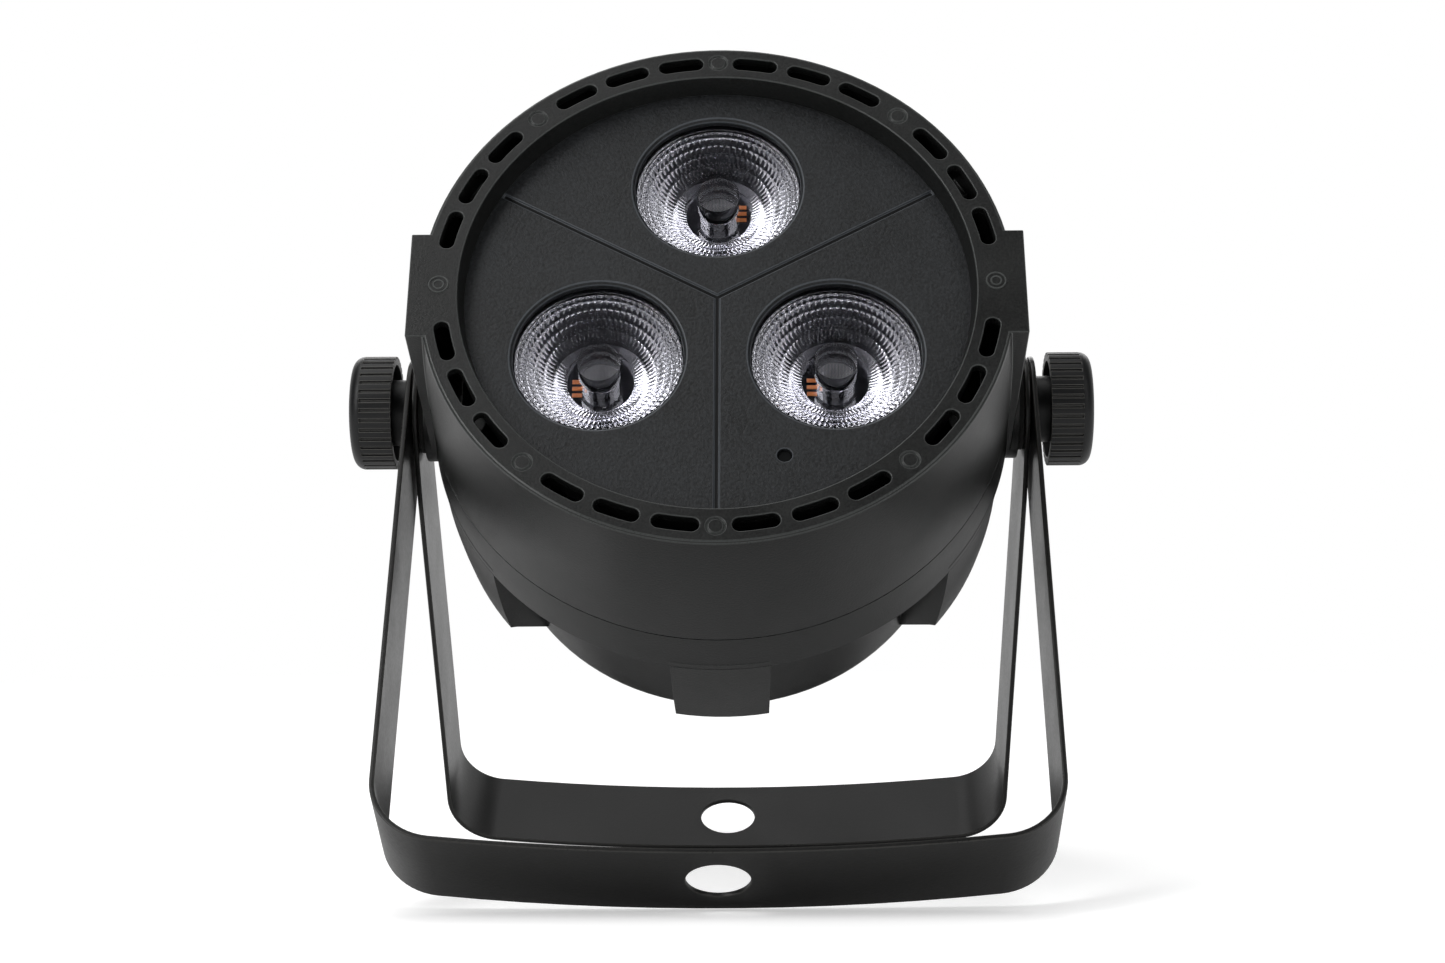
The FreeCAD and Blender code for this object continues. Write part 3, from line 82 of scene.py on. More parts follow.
def stand_in_head(piece, x, height):
    """Moves a piece lathed round Z, whose zero is the front ring's plane, to its place."""
    piece.data.transform(Matrix.Translation(in_head(x, 0.0, height)) @ head_turn)


def show(thing):
    """Puts a new object in the scene."""
    bpy.context.scene.collection.objects.link(thing)


# ---------------------------------------------------------------- camera

LENS_MM = 68.5
SENSOR_MM = 36.0
CAMERA_FROM_PIVOT = Vector((12.8, -748.7, -36.2)) * MM
CAMERA_TURN = (91.30, 0.3216, 0.974)

camera_data = bpy.data.cameras.new("camera")
camera_data.lens = LENS_MM
camera_data.sensor_width = SENSOR_MM
camera = bpy.data.objects.new("camera", camera_data)
camera.location = pivot + CAMERA_FROM_PIVOT
camera.rotation_euler = [math.radians(angle) for angle in CAMERA_TURN]
show(camera)
bpy.context.scene.camera = camera

# ---------------------------------------------------------------- nodes

# Noise rarely leaves these spans, so a pattern that is mapped from them uses its whole range.
GLOSS_SPAN = (0.3, 0.7)
MOTTLE_SPAN = (0.32, 0.68)
GLOSSIER = 0.06
DULLER = 0.08


class Wire:
    """One output of a node. Arithmetic on wires adds Math nodes."""

    def __init__(self, wiring, socket):
        self.wiring = wiring
        self.socket = socket

    def joined(self, operation, first, second):
        """A Math node on two wires or numbers."""
        return self.wiring.node("Math", {"operation": operation}, {0: first, 1: second})

    def __add__(self, other):
        return self.joined("ADD", self, other)

    def __radd__(self, other):
        return self.joined("ADD", other, self)

    def __sub__(self, other):
        return self.joined("SUBTRACT", self, other)

    def __rsub__(self, other):
        return self.joined("SUBTRACT", other, self)

    def __mul__(self, other):
        return self.joined("MULTIPLY", self, other)

    def __rmul__(self, other):
        return self.joined("MULTIPLY", other, self)


class Wiring:
    """The nodes of one material, or of the world."""

    def __init__(self, tree):
        self.tree = tree

    def fill(self, socket, value):
        """Gives a socket a plain value or a wire."""
        if isinstance(value, Wire):
            self.tree.links.new(value.socket, socket)
        else:
            socket.default_value = value

    def node(self, kind, settings=None, inputs=None, output=0):
        """Adds a node of a type, sets it up, fills its inputs and gives one of its outputs."""
        made = self.tree.nodes.new("ShaderNode" + kind)
        for name, value in (settings or {}).items():
            setattr(made, name, value)
        for socket, value in (inputs or {}).items():
            self.fill(made.inputs[socket], value)
        return Wire(self, made.outputs[output])

    def level(self, wire, low, high, start=0.0, end=1.0, shape="LINEAR"):
        """Maps low..high of a wire to start..end, and holds it there."""
        return self.node("MapRange", {"interpolation_type": shape}, {
            "Value": wire, "From Min": low, "From Max": high, "To Min": start, "To Max": end,
        })


class Finish(Wiring):
    """A material: plain values go on its shader by name, patterns are wired in."""

    def __init__(self, name, **values):
        self.material = bpy.data.materials.new(name)
        self.material.use_nodes = True
        super().__init__(self.material.node_tree)
        self.shader = self.tree.nodes["Principled BSDF"]
        for socket, value in values.items():
            self.set(socket.replace("_", " "), value)
        self.place = self.node("TexCoord", output="Object")

    def set(self, socket, value):
        """Gives one of the shader's sockets a plain value or a wire."""
        self.fill(self.shader.inputs[socket], value)

    def noise(self, scale, detail=2.0, roughness=0.5):
        """Cloudy grain from 0 to 1; scale is in cells per metre."""
        return self.node("TexNoise", {}, {
            "Vector": self.place, "Scale": scale, "Detail": detail, "Roughness": roughness,
        })

    def shade(self, factor, first, second):
        """A colour between two colours."""
        return self.node("Mix", {"data_type": "RGBA"}, {0: factor, 6: first, 7: second}, output=2)

    def uneven_gloss(self, wire, rough):
        """Roughness that wavers a little round one value."""
        self.set("Roughness", self.level(wire, *GLOSS_SPAN, rough - GLOSSIER, rough + DULLER))

    def raise_surface(self, height, distance):
        """Bump: a height of one stands this far off the surface."""
        self.set("Normal", self.node("Bump", {}, {"Height": height, "Distance": distance}))


def tinted(colour, share):
    """A share of a colour, opaque."""
    return tuple(part * share for part in colour[:3]) + (1.0,)


# ---------------------------------------------------------------- plastics and paints

WHITE = (1.0, 1.0, 1.0, 1.0)
COOL = (0.90, 1.0, 1.12)
WARM = (1.04, 1.02, 0.95)
MILD = (0.96, 1.03, 1.0)
FINE_SHARE = 0.7
CLOUD_CELLS = 45.0


def moulded(name, dark, light, tint, rough, grain, depth, specular=0.34):
    """Satin plastic or paint: fine grain in colour, gloss and surface, with slow clouds."""
    finish = Finish(name, Specular_IOR_Level=specular)
    fine = finish.noise(grain, detail=3.0, roughness=0.6)
    cloud = finish.noise(CLOUD_CELLS, detail=3.0)
    mottle = finish.level(fine * FINE_SHARE + cloud * (1 - FINE_SHARE), *MOTTLE_SPAN)
    finish.set("Base Color", finish.shade(mottle, tinted(tint, dark), tinted(tint, light)))
    finish.uneven_gloss(cloud * 0.5 + fine * 0.5, rough)
    finish.raise_surface(fine, depth)
    return finish.material


# The finishes named for edges are lighter than their bodies: they go on eased edges and mark rims as a
# painted highlight.
# Dark and light tone, tint, roughness, grain in cells per metre, and how high the grain stands.
housing_black = moulded("housing_black", 0.002, 0.012, MILD, 0.38, 1700.0, 0.06 * MM)
housing_edge_highlight = moulded("housing_edge_highlight", 0.030, 0.050, MILD, 0.30, 2600.0, 0.01 * MM)
mark_rim_highlight = moulded("mark_rim_highlight", 0.045, 0.070, MILD, 0.30, 2600.0, 0.01 * MM)
plate_black = moulded("plate_black", 0.001, 0.020, COOL, 0.50, 1300.0, 0.20 * MM)
# This much darker finish goes on the face plate's groove floors as painted shade.
seam_painted_shade = moulded("seam_painted_shade", 0.0015, 0.0040, COOL, 0.60, 1300.0, 0.02 * MM, 0.20)
plate_edge_highlight = moulded("plate_edge_highlight", 0.042, 0.070, COOL, 0.36, 2200.0, 0.01 * MM)
powder_black = moulded("powder_black", 0.004, 0.008, WARM, 0.36, 1100.0, 0.03 * MM, 0.31)
powder_edge_highlight = moulded("powder_edge_highlight", 0.022, 0.034, WARM, 0.30, 1500.0, 0.01 * MM)
knob_black = moulded("knob_black", 0.002, 0.006, COOL, 0.42, 2400.0, 0.02 * MM)
knob_edge = moulded("knob_edge", 0.055, 0.085, WARM, 0.34, 2400.0, 0.01 * MM)
holder_black = moulded("holder_black", 0.006, 0.011, COOL, 0.35, 2400.0, 0.01 * MM)
receiver_black = moulded("receiver_black", 0.002, 0.004, COOL, 0.6, 2400.0, 0.01 * MM, 0.1)
panel_black = moulded("panel_black", 0.010, 0.018, COOL, 0.45, 1600.0, 0.03 * MM)
panel_edge_highlight = moulded("panel_edge_highlight", 0.030, 0.046, COOL, 0.36, 1600.0, 0.01 * MM)
socket_black = moulded("socket_black", 0.010, 0.018, COOL, 0.28, 2600.0, 0.01 * MM)
socket_edge_highlight = moulded("socket_edge_highlight", 0.028, 0.042, COOL, 0.25, 2600.0, 0.01 * MM)
button_black = moulded("button_black", 0.020, 0.032, COOL, 0.32, 2600.0, 0.01 * MM)
rubber_black = moulded("rubber_black", 0.010, 0.022, WARM, 0.75, 1800.0, 0.05 * MM)
nylon_black = moulded("nylon_black", 0.014, 0.024, COOL, 0.45, 2400.0, 0.02 * MM)
display_dark = moulded("display_dark", 0.016, 0.026, COOL, 0.5, 2400.0, 0.02 * MM)
board_green = moulded("board_green", 0.035, 0.060, (0.25, 1.0, 0.45), 0.34, 900.0, 0.01 * MM)
board_black = moulded("board_black", 0.008, 0.014, COOL, 0.30, 900.0, 0.01 * MM)
component_yellow = moulded("component_yellow", 0.20, 0.30, (1.0, 0.78, 0.30), 0.45, 700.0, 0.03 * MM)
ceramic_white = moulded("ceramic_white", 0.62, 0.74, (1.0, 0.99, 0.95), 0.35, 2600.0, 0.01 * MM)

# ---------------------------------------------------------------- metals

TARNISH_CELLS = 90.0
TARNISH = 0.78
LINE_HEIGHT = 0.01 * MM


def metal(name, colour, rough, grain, across):
    """Machined or plated metal with fine lines, which across stretches along an axis."""
    finish = Finish(name, Metallic=1.0)
    lines = finish.node("TexNoise", {}, {
        "Vector": finish.node("Mapping", {}, {"Vector": finish.place, "Scale": across}),
        "Scale": grain, "Detail": 3.0, "Roughness": 0.6,
    })
    cloud = finish.noise(TARNISH_CELLS)
    blend = lines * FINE_SHARE + cloud * (1 - FINE_SHARE)
    finish.set("Base Color", finish.shade(blend, tinted(colour, TARNISH), colour))
    finish.uneven_gloss(lines, rough)
    finish.raise_surface(lines, LINE_HEIGHT)
    return finish.material


# Colour, roughness, lines per metre, and how the lines are stretched.
aluminium = metal("aluminium", (0.74, 0.75, 0.77, 1.0), 0.34, 900.0, (0.08, 1.0, 1.0))
brass = metal("brass", (0.80, 0.58, 0.28, 1.0), 0.28, 1500.0, (1.0, 0.2, 0.2))
zinc = metal("zinc", (0.62, 0.62, 0.63, 1.0), 0.30, 1500.0, (1.0, 0.2, 0.2))
tinned = metal("tinned", (0.66, 0.66, 0.65, 1.0), 0.30, 1500.0, (1.0, 1.0, 1.0))
blackened = metal("blackened", (0.09, 0.09, 0.095, 1.0), 0.34, 1500.0, (1.0, 1.0, 1.0))

# ---------------------------------------------------------------- clear mouldings

ACRYLIC_IOR = 1.49
SILICONE_IOR = 1.41
FLOW_CELLS = 120.0
FLOW_TINT = 0.98
FLOW_DULLER = 0.01
CELL_PITCH = 0.42 * MM
CELL_HEIGHT = 0.02 * MM
CELL_SPAN = (-1.2, 1.6)
CELL_EDGE_SHADE = 0.15


def clear(name, colour, rough, ior):
    """Clear moulding: transmission with a trace of flow marks."""
    finish = Finish(name, Transmission_Weight=1.0, IOR=ior)
    flow = finish.noise(FLOW_CELLS)
    finish.set("Base Color", finish.shade(flow, tinted(colour, FLOW_TINT), colour))
    finish.set("Roughness", finish.level(flow, *GLOSS_SPAN, rough, rough + FLOW_DULLER))
    return finish.material


def faceted(name, colour):
    """Clear moulding with a honeycomb of tiny lenses across the optical axis; the cells' darker edges
    are painted shade.
    """
    finish = Finish(name, Transmission_Weight=0.65, IOR=ACRYLIC_IOR, Roughness=0.12)
    beat = 4 * math.pi / (math.sqrt(3) * CELL_PITCH)
    across = finish.node("VectorMath", {"operation": "DOT_PRODUCT"},
                         {0: finish.place, 1: sideways}, output="Value")
    along = finish.node("VectorMath", {"operation": "DOT_PRODUCT"},
                        {0: finish.place, 1: upward}, output="Value")
    # Three waves at sixty degrees to one another add up to a honeycomb.
    lean = across * 0.5
    rise = along * (math.sqrt(3) / 2)
    waves = [finish.node("Math", {"operation": "COSINE"}, {0: wire * beat})
             for wire in (across, lean + rise, lean - rise)]
    cells = waves[0] + waves[1] + waves[2]
    crown = finish.level(cells, *CELL_SPAN)
    # The darker colour at the cells' edges is painted shade, standing in for how the tiny lenses bend
    # light.
    finish.set("Base Color", finish.shade(crown, tinted(colour, CELL_EDGE_SHADE), colour))
    finish.raise_surface(cells, CELL_HEIGHT)
    return finish.material


# The lenses' faint lavender tint is a painted tint for the violet cast of their highlights.
lens_clear = clear("lens_clear", (0.91, 0.91, 1.0, 1.0), 0.0, ACRYLIC_IOR)
dome_clear = clear("dome_clear", (0.98, 0.98, 0.98, 1.0), 0.0, SILICONE_IOR)
lens_honeycomb_shaded = faceted("lens_honeycomb_shaded", (0.95, 0.95, 0.97, 1.0))
smoked = clear("smoked", (0.10, 0.012, 0.012, 1.0), 0.02, ACRYLIC_IOR)

# ---------------------------------------------------------------- chips and copper

CONTACT_CELLS = 4200.0
BETWEEN_CONTACTS = 0.6


def lacquered(name, colour):
    """A bare chip or copper under lacquer, with fine contact lines."""
    finish = Finish(name, Roughness=0.25)
    lines = finish.noise(CONTACT_CELLS, detail=1.0)
    finish.set("Base Color", finish.shade(lines, tinted(colour, BETWEEN_CONTACTS), colour))
    return finish.material


chip_amber = lacquered("chip_amber", (0.95, 0.28, 0.03, 1.0))
chip_grey = lacquered("chip_grey", (0.30, 0.31, 0.34, 1.0))
chip_red = lacquered("chip_red", (0.62, 0.10, 0.05, 1.0))
chip_gold = lacquered("chip_gold", (0.62, 0.40, 0.12, 1.0))
finger_copper = lacquered("finger_copper", (1.0, 0.32, 0.08, 1.0))

# ---------------------------------------------------------------- working on pieces

FACING = 0.99
# Places that are nearer than this count as one.
TOUCH = 0.01 * MM
EDGE_ANGLE = 32.0


def choose(piece):
    """Makes one piece the only one selected, and the active one."""
    bpy.ops.object.select_all(action="DESELECT")
    piece.select_set(True)
    bpy.context.view_layer.objects.active = piece


def start_piece(name):
    """Takes over the primitive that was just added."""
    piece = bpy.context.object
    piece.name = name
    piece.data.name = name
    return piece


def twin(piece, name):
    """A copy of a piece, with a mesh of its own."""
    copied = piece.copy()
    copied.name = name
    copied.data = piece.data.copy()
    copied.data.name = name
    show(copied)
    return copied


def select_faces(piece, wanted):
    """In edit mode, selects only the faces for which wanted is true."""
    bpy.ops.mesh.select_all(action="DESELECT")
    bpy.ops.mesh.select_mode(type="FACE")
    bpy.ops.object.mode_set(mode="OBJECT")
    for face in piece.data.polygons:
        face.select = bool(wanted(face))
    bpy.ops.object.mode_set(mode="EDIT")


def apply_modifier(piece, kind, **settings):
    """Puts a modifier on a piece and applies it."""
    choose(piece)
    modifier = piece.modifiers.new(kind.lower(), kind)
    for name, value in settings.items():
        setattr(modifier, name, value)
    bpy.ops.object.modifier_apply(modifier=modifier.name)


def smooth(piece, angle=EDGE_ANGLE):
    """Smooth shading, with edges sharper than the angle left crisp."""
    choose(piece)
    bpy.ops.object.shade_smooth_by_angle(angle=math.radians(angle))


def wear(piece, *finishes):
    """Gives a piece its finishes, in the order of its faces' material numbers."""
    piece.data.materials.clear()
    for finish in finishes:
        piece.data.materials.append(finish)


def hand_over(piece, node):
    """The piece rides with a solid's body and is shown in its place."""
    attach(piece, nodes[node]["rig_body"])
    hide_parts(node)


# ---------------------------------------------------------------- shells

MERGE_WITHIN = 0.002 * MM
FLAT_ANGLE = 0.6
SHELL_ANGLE = 50.0
WIDE_FACE_WEIGHT = 80
RING_PLANE = 0.1 * MM
SEAM_FLOOR = (0.3 * MM, 1.0 * MM)

ring_middle = in_head(0.0, 0.0, 0.0)


def faces_forward(face):
    """True of a face that looks straight out of the front."""
    return face.normal.dot(forward) > FACING


def depth_of(face):
    """How far the middle of a face lies behind the front ring's plane."""
    return (ring_middle - face.center).dot(forward)


def at_front(face):
    """True of the front ring's own face, which lies in the plane at depth nought."""
    return depth_of(face) < RING_PLANE and faces_forward(face)


def eased(node, width, finish, edge_highlight, whole=lambda face: False):
    """A copy of a solid with eased edges, whose lighter edge finish is a painted highlight; whole faces
    aren't cut in triangles.
    """
    piece = bpy.data.objects.new(node + "_shell", nodes[node].data.copy())
    piece.data.name = piece.name
    show(piece)
    choose(piece)
    bpy.ops.object.mode_set(mode="EDIT")
    bpy.ops.mesh.select_all(action="SELECT")
    bpy.ops.mesh.remove_doubles(threshold=MERGE_WITHIN)
    bpy.ops.mesh.dissolve_limited(angle_limit=math.radians(FLAT_ANGLE))
    select_faces(piece, lambda face: not whole(face))
    bpy.ops.mesh.quads_convert_to_tris(quad_method="BEAUTY", ngon_method="BEAUTY")
    bpy.ops.object.mode_set(mode="OBJECT")
    # The second finish is lighter and goes on the bevel faces as a painted highlight.
    wear(piece, finish, edge_highlight)
    apply_modifier(piece, "BEVEL", width=width, segments=2, limit_method="ANGLE",
                   angle_limit=math.radians(EDGE_ANGLE), material=1, use_clamp_overlap=False,
                   loop_slide=False)
    smooth(piece, SHELL_ANGLE)
    apply_modifier(piece, "WEIGHTED_NORMAL", keep_sharp=True, weight=WIDE_FACE_WEIGHT)
    hand_over(piece, node)
    return piece


def paint_seam_shade(plate):
    """Gives the floors of the grooves between the plate's three fields a darker finish, a painted
    shade.
    """
    facing = [face for face in plate.data.polygons if faces_forward(face)]
    plate_front = min(depth_of(face) for face in facing)
    plate.data.materials.append(seam_painted_shade)
    for face in facing:
        if SEAM_FLOOR[0] < depth_of(face) - plate_front < SEAM_FLOOR[1]:
            face.material_index = len(plate.data.materials) - 1


# Each shell's second finish is lighter and paints a highlight on its eased edges.
eased("front_housing", 0.30 * MM, housing_black, housing_edge_highlight, at_front)
eased("rear_housing", 0.06 * MM, housing_black, housing_edge_highlight)
paint_seam_shade(eased("face_plate", 0.25 * MM, plate_black, plate_edge_highlight))
eased("front_bracket", 0.30 * MM, powder_black, powder_edge_highlight)
eased("rear_bracket", 0.30 * MM, powder_black, powder_edge_highlight)
eased("knob_left", 0.14 * MM, knob_black, knob_edge)
eased("knob_right", 0.14 * MM, knob_black, knob_edge)
eased("rear_panel", 0.20 * MM, panel_black, panel_edge_highlight)
eased("dmx_input_socket", 0.20 * MM, socket_black, socket_edge_highlight)
eased("dmx_output_socket", 0.20 * MM, socket_black, socket_edge_highlight)
eased("power_inlet", 0.25 * MM, socket_black, socket_edge_highlight)
for number in range(1, 5):
    eased(f"button_{number}", 0.20 * MM, button_black, panel_edge_highlight)

# ---------------------------------------------------------------- turned pieces

SAME_SIZE = 1e-9


def pull_out(radius, depth, last):
    """Extrudes the selected ring to a new radius and depth; last is where it stands now."""
    bpy.ops.mesh.extrude_region_move(TRANSFORM_OT_translate={"value": (0.0, 0.0, last[1] - depth)})
    ratio = radius / last[0]
    if abs(ratio - 1.0) > SAME_SIZE:
        bpy.ops.transform.resize(value=(ratio, ratio, 1.0), center_override=(0.0, 0.0, -depth))
    return (radius, depth)


def lathe(name, steps, around):
    """Draws a closed turned shape, starting with a disc and pulling its rim along steps."""
    bpy.ops.object.select_all(action="DESELECT")
    radius, depth = steps[0]
    bpy.ops.mesh.primitive_circle_add(vertices=around, radius=radius, fill_type="NGON",
                                      location=(0.0, 0.0, 0.0))
    piece = start_piece(name)
    bpy.ops.object.mode_set(mode="EDIT")
    bpy.ops.mesh.select_all(action="SELECT")
    bpy.ops.transform.translate(value=(0.0, 0.0, -depth))
    bpy.ops.mesh.select_mode(type="EDGE")
    bpy.ops.mesh.select_all(action="SELECT")
    last = (radius, depth)
    for step in steps[1:]:
        last = pull_out(step[0], step[1], last)
    bpy.ops.mesh.fill_holes(sides=0)
    bpy.ops.mesh.select_all(action="SELECT")
    bpy.ops.mesh.normals_make_consistent(inside=False)
    bpy.ops.object.mode_set(mode="OBJECT")
    return piece


# ---------------------------------------------------------------- lenses

LENS_CIRCLE = 34.5 * MM
LENS_TURNS = {"top": 90.0, "left": 210.0, "right": 330.0}
LENS_FACE = 9.9 * MM
LENS_FRONT = 8.9 * MM
LENS_SHOULDER = 10.4 * MM
LENS_BACK = 26.4 * MM
FLANGE_RADIUS = 22.6 * MM
FACE_RADIUS = 20.3 * MM
FLANK_TOP = 21.2 * MM
FLANK_FOOT = 8.5 * MM
FLANK_BULGE = 1.8 * MM
FLANK_LENGTH = LENS_BACK - LENS_SHOULDER
BORE_RADIUS = 5.5 * MM
BORE_FLOOR = 19.5 * MM
CAVITY_RADIUS = 5.0 * MM
CAVITY_TOP = 21.5 * MM
PILLOWS_ROUND = 72
PILLOW_ROWS = 6
PILLOW_STEPS = 6
PILLOW_WIDE_RISE = 0.13 * MM
PILLOW_LONG_RISE = 0.07 * MM
PILLOW_ANGLE = 18.0
# Points within this share of a row from its ends stay down in the crease between pillows.
CREASE = 0.01


def flank_radius(share):
    """Radius of the bulging flank, a share of the way from the shoulder to the foot."""
    return FLANK_TOP + (FLANK_FOOT - FLANK_TOP) * share + 4 * FLANK_BULGE * share * (1 - share)


def raise_pillow(point, radius, share):
    """Moves a point of the flank out, by where it lies in its own pillow."""
    slope = (FLANK_TOP - FLANK_FOOT - 4 * FLANK_BULGE * (1 - 2 * share)) / FLANK_LENGTH
    row = share * PILLOW_ROWS
    column = math.atan2(point.co.y, point.co.x) / (2 * math.pi) * PILLOWS_ROUND
    along = 2 * (row % 1.0) - 1 if CREASE < row < PILLOW_ROWS - CREASE else 1.0
    across = 2 * (column % 1.0) - 1
    rise = PILLOW_LONG_RISE * (1 - along ** 2)
    if abs(along) < 1 - CREASE:
        rise += PILLOW_WIDE_RISE * radius / FLANK_TOP * (1 - across ** 2)
    out = Vector((point.co.x / radius, point.co.y / radius, -slope)).normalized()
    point.co += out * rise


def collimator(name):
    """Clear lens with rows of shallow pillows on its flank, a bore in front and a cavity behind."""
    rows = PILLOW_ROWS * PILLOW_STEPS
    flank = [
        (flank_radius(row / rows), LENS_SHOULDER + FLANK_LENGTH * row / rows)
        for row in range(rows + 1)
    ]
    steps = [
        (BORE_RADIUS, BORE_FLOOR), (BORE_RADIUS, LENS_FACE), (FACE_RADIUS, LENS_FACE),
        (FACE_RADIUS, LENS_FRONT), (FLANGE_RADIUS, LENS_FRONT), (FLANGE_RADIUS, LENS_SHOULDER),
        *flank, (CAVITY_RADIUS, LENS_BACK), (CAVITY_RADIUS, CAVITY_TOP),
    ]
    piece = lathe(name, steps, PILLOWS_ROUND * PILLOW_STEPS)
    for point in piece.data.vertices:
        radius = math.hypot(point.co.x, point.co.y)
        share = (-point.co.z - LENS_SHOULDER) / FLANK_LENGTH
        if 0 <= share <= 1 and abs(radius - flank_radius(share)) <= TOUCH:
            raise_pillow(point, radius, share)
    smooth(piece, PILLOW_ANGLE)
    wear(piece, lens_clear, lens_honeycomb_shaded)
    # The bore's floor takes the honeycomb finish, whose darker cell edges are painted shade.
    for face in piece.data.polygons:
        heights = [piece.data.vertices[point].co.z for point in face.vertices]
        if all(abs(height + BORE_FLOOR) < TOUCH for height in heights):
            face.material_index = 1
    return piece


def three_of(first, kind):
    """The first piece, for the top lens, and its twins for the other two."""
    return {side: first if side == "top" else twin(first, f"{kind}_{side}") for side in LENS_TURNS}


def stand_at_lens(piece, side):
    """Stands a turned piece on the axis of one of the three lenses."""
    angle = math.radians(LENS_TURNS[side])
    stand_in_head(piece, LENS_CIRCLE * math.cos(angle), LENS_CIRCLE * math.sin(angle))


for side, lens in three_of(collimator("collimator_top"), "collimator").items():
    stand_at_lens(lens, side)
    hand_over(lens, "lens_" + side)

# ---------------------------------------------------------------- marks on the ears

MARK_CIRCLE = 70.2 * MM
MARK_POINTS = 40
MARK_ANGLE = 20.0
MARK_RIM = 0.15 * MM
MARK_FLAT = 0.95
# Radius and depth of each step, in millimetres, from the outer rim to the middle.
MARK_STEPS = (
    (2.60, 0.05), (2.50, -0.26), (2.28, -0.26), (2.16, -0.01),
    (1.50, -0.01), (1.40, -0.20), (1.16, -0.20), (1.06, -0.01),
)

mark_steps = [(radius * MM, depth * MM) for radius, depth in MARK_STEPS]
mark_right = lathe("mark_right", mark_steps, MARK_POINTS)
wear(mark_right, housing_black, mark_rim_highlight)
# The slopes and the tops of the raised rings take the lighter finish as a painted highlight; the flat
# floors keep the housing's colour.
for face in mark_right.data.polygons:
    flat = face.normal.z >= MARK_FLAT
    face.material_index = int(not flat or face.center.z > MARK_RIM)
smooth(mark_right, MARK_ANGLE)
mark_left = twin(mark_right, "mark_left")
for ear_mark, x in ((mark_right, MARK_CIRCLE), (mark_left, -MARK_CIRCLE)):
    stand_in_head(ear_mark, x, 0.0)
    hand_over(ear_mark, "front_housing")

# ---------------------------------------------------------------- emitters

BOARD_DEPTH = 27.0 * MM
PACKAGE_SIZE = 6.4 * MM
PACKAGE_HEIGHT = 1.2 * MM
PACKAGE_EASE = 0.15 * MM
WELL_MARGIN = 0.9 * MM
WELL_DEPTH = 0.45 * MM
DOME_RADIUS = 2.8 * MM
DOME_RINGS = 9
DOME_POINTS = 48
CHIP_SIZE = 1.5 * MM
CHIP_HEIGHT = 0.25 * MM
CHIP_PITCH = 1.9 * MM
CHIP_EASE = 0.04 * MM
FINGER_SIZE = (2.6 * MM, 1.2 * MM)
FINGER_HEIGHT = 0.14 * MM
FINGER_REACH = 6.0 * MM
FINGER_RISE = 1.2 * MM
FINGER_PITCH = 2.0 * MM
FINGER_EASE = 0.03 * MM
CHIPS = (
    (-0.5, -0.5, chip_grey), (0.5, -0.5, chip_amber),
    (-0.5, 0.5, chip_red), (0.5, 0.5, chip_gold),
)


def block(name, size, height, place, ease, finish):
    """Block with eased edges, of a width and a breadth, standing at a place on the board's side."""
    bpy.ops.object.select_all(action="DESELECT")
    bpy.ops.mesh.primitive_cube_add(size=1.0, location=(0.0, 0.0, 0.0))
    piece = start_piece(name)
    bpy.ops.object.mode_set(mode="EDIT")
    bpy.ops.mesh.select_all(action="SELECT")
    bpy.ops.transform.resize(value=(size[0], size[1], height), center_override=(0.0, 0.0, 0.0))
    bpy.ops.transform.translate(value=(place[0], place[1], place[2] + height / 2))
    bpy.ops.object.mode_set(mode="OBJECT")
    apply_modifier(piece, "BEVEL", width=ease, segments=2, limit_method="ANGLE")
    wear(piece, finish)
    return piece


def emitter(name):
    """Square package with a sunken top, four chips, a clear dome and three copper fingers beside it."""
    package = block(name, (PACKAGE_SIZE, PACKAGE_SIZE), PACKAGE_HEIGHT, (0.0, 0.0, -BOARD_DEPTH),
                    PACKAGE_EASE, ceramic_white)
    top = PACKAGE_HEIGHT - BOARD_DEPTH
    bpy.ops.object.mode_set(mode="EDIT")
    select_faces(package, lambda face: face.normal.z > FACING and face.center.z > top - TOUCH)
    bpy.ops.mesh.inset(thickness=WELL_MARGIN)
    bpy.ops.mesh.extrude_region_move(TRANSFORM_OT_translate={"value": (0.0, 0.0, -WELL_DEPTH)})
    bpy.ops.object.mode_set(mode="OBJECT")
    pieces = [package]
    for rank in (-1, 0, 1):
        place = (FINGER_REACH, FINGER_RISE + rank * FINGER_PITCH, -BOARD_DEPTH)
        pieces.append(block("finger", FINGER_SIZE, FINGER_HEIGHT, place, FINGER_EASE, finger_copper))
    for across, up, finish in CHIPS:
        place = (across * CHIP_PITCH, up * CHIP_PITCH, top - WELL_DEPTH)
        pieces.append(block("chip", (CHIP_SIZE, CHIP_SIZE), CHIP_HEIGHT, place, CHIP_EASE, finish))
    arc = [math.pi / 2 * ring / DOME_RINGS for ring in range(DOME_RINGS)]
    dome = lathe("dome", [
        (DOME_RADIUS * math.cos(angle), -top - DOME_RADIUS * math.sin(angle) - TOUCH)
        for angle in arc
    ], DOME_POINTS)
    wear(dome, dome_clear)
    pieces.append(dome)
    bpy.ops.object.select_all(action="DESELECT")
    for piece in pieces:
        piece.select_set(True)
    bpy.context.view_layer.objects.active = package
    bpy.ops.object.join()
    smooth(package)
    return package


for side, source in three_of(emitter("emitter_top"), "emitter").items():
    if side != "top":
        source.data.transform(Matrix.Rotation(math.pi, 4, "Z"))
    stand_at_lens(source, side)
    hand_over(source, "led_" + side)

# ---------------------------------------------------------------- solids that stay

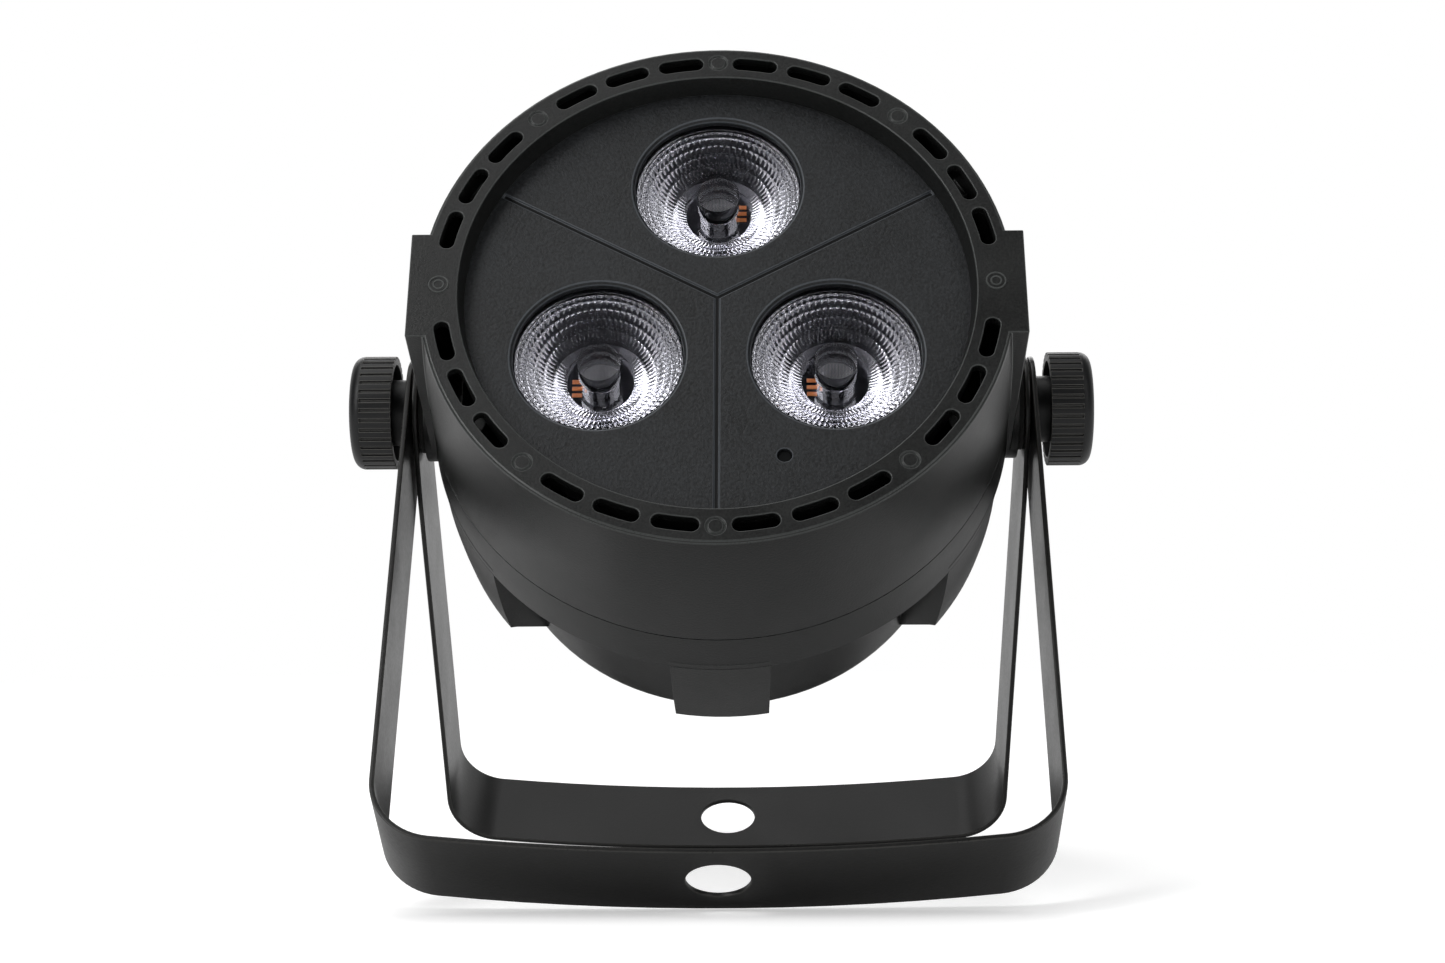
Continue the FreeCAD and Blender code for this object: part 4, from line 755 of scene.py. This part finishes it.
KEPT = (
    (holder_black, ("lens_holder_top", "lens_holder_left", "lens_holder_right")),
    (board_black, ("led_board",)),
    (aluminium, ("heat_sink",)),
    (receiver_black, ("ir_receiver",)),
    (smoked, ("display_window",)),
    (display_dark, ("display_module",)),
    (board_green, ("control_board", "power_board")),
    (tinned, ("tact_switches",)),
    (brass, ("panel_standoffs", "power_posts", "pivot_insert_left", "pivot_insert_right")),
    (component_yellow, ("transformer",)),
    (socket_black, ("capacitors",)),
    (blackened, ("plate_screws", "sink_screws", "housing_screws", "panel_screws")),
    (rubber_black, ("friction_washer_left", "friction_washer_right")),
    (nylon_black, ("spacer_washer_left", "spacer_washer_right")),
    (zinc, ("knob_bolt_left", "knob_bolt_right")),
)
for finish, kept_nodes in KEPT:
    for node in kept_nodes:
        for slot in nodes[node].material_slots:
            slot.material = finish

# ---------------------------------------------------------------- floor

FLOOR_REACH = 6.0
FLOOR_DROP = 0.2 * MM
PAPER_TONE = 0.86
PAPER_LIFT = 0.40
# The paper turns to plain white between these distances from the middle.
PAPER_FADE = (0.35, 1.2)

bpy.ops.object.select_all(action="DESELECT")
bpy.ops.mesh.primitive_plane_add(size=2 * FLOOR_REACH, location=(0.0, 0.0, -FLOOR_DROP))
floor = start_piece("floor")
paper = Finish("paper", Roughness=0.9, Specular_IOR_Level=0.1)
paper.set("Base Color", tinted(WHITE, PAPER_TONE))
seen = paper.node("LightPath", output="Is Camera Ray")
lift = paper.node("Emission", {}, {"Color": WHITE, "Strength": seen * PAPER_LIFT})
lit = paper.node("AddShader", {}, {0: Wire(paper, paper.shader.outputs[0]), 1: lift})
glow = paper.node("Emission", {}, {"Color": WHITE, "Strength": 1.0})
away = paper.node("VectorMath", {"operation": "LENGTH"}, {0: paper.place}, output="Value")
mixed = paper.node("MixShader", {}, {0: paper.level(away, *PAPER_FADE), 1: lit, 2: glow})
paper.fill(paper.tree.nodes["Material Output"].inputs["Surface"], mixed)
wear(floor, paper.material)

# ---------------------------------------------------------------- lamps


def softbox(name, place, width, height, watts):
    """A rectangular lamp that looks at the pivot."""
    light = bpy.data.lights.new(name, "AREA")
    light.shape = "RECTANGLE"
    light.size = width
    light.size_y = height
    light.energy = watts
    lamp = bpy.data.objects.new(name, light)
    lamp.location = place
    lamp.rotation_euler = (pivot - Vector(place)).to_track_quat("-Z", "Y").to_euler()
    show(lamp)


softbox("key", (-0.3, 0.1, 1.7), width=1.4, height=1.0, watts=8.0)
softbox("left_front", (-0.85, -1.0, 1.0), width=0.45, height=1.5, watts=13.0)
softbox("right_front", (0.85, -1.0, 1.0), width=0.45, height=1.5, watts=4.0)
softbox("back", (0.0, 1.5, 0.9), width=1.6, height=0.6, watts=7.0)

# ---------------------------------------------------------------- room round the object

# Places in the room are parts of the unit direction towards them: X right, Y away, Z up.
SOFT = "SMOOTHSTEP"
SKY_FILL = 0.38
CEILING_SPAN = (0.05, 0.85)
CEILING_DARK = 0.15
BACKDROP_SPAN = (-0.02, 0.5)
FRONT_DARK = 0.07
PANE_SIDE = (0.36, 0.66)
PANE_RISE = (0.15, 0.75)
PANE_AHEAD = (-1.0, -0.15)
PANE_GLOW = 2.3
BETWEEN_PANES = 0.14

world = bpy.data.worlds.new("studio")
bpy.context.scene.world = world
world.use_nodes = True
room = Wiring(world.node_tree)


def band(value, span, soft):
    """One inside the span, fading to nought over the soft width outside it."""
    low, high = span
    rise = room.level(value, low - soft, low, shape=SOFT)
    fall = room.level(value, high, high + soft, 1.0, 0.0, SOFT)
    return rise * fall


def between(factor, first, second):
    """A number between two numbers."""
    return room.node("Mix", {"data_type": "FLOAT"}, {0: factor, 2: first, 3: second})


toward = room.node("TexCoord", output="Generated")
right = room.node("SeparateXYZ", {}, {0: toward}, "X")
back = room.node("SeparateXYZ", {}, {0: toward}, "Y")
up = room.node("SeparateXYZ", {}, {0: toward}, "Z")
beside = room.node("Math", {"operation": "ABSOLUTE"}, {0: right})

ceiling = room.level(up, *CEILING_SPAN, 1.0, CEILING_DARK, SOFT)
backdrop = room.level(back, *BACKDROP_SPAN, FRONT_DARK, 1.0, SOFT)
walls = ceiling * backdrop
pane_width = band(beside, PANE_SIDE, soft=0.04)
pane_height = band(up, PANE_RISE, soft=0.05)
panes = pane_width * pane_height * band(back, PANE_AHEAD, soft=0.1)
windows = panes * PANE_GLOW + walls * BETWEEN_PANES

# Gloss mirrors the walls, clear pieces show the windows, and all else gets an even fill.
through = room.node("LightPath", output="Is Transmission Ray")
glossy = room.node("LightPath", output="Is Glossy Ray")
bent = room.node("Math", {"operation": "MAXIMUM"}, {0: glossy, 1: through})
unseen = between(bent, SKY_FILL, between(through, walls, windows))
strength = between(room.node("LightPath", output="Is Camera Ray"), unseen, 1.0)
room.fill(room.tree.nodes["Background"].inputs["Color"], WHITE)
room.fill(room.tree.nodes["Background"].inputs["Strength"], strength)

bpy.context.scene.view_settings.view_transform = "Standard"
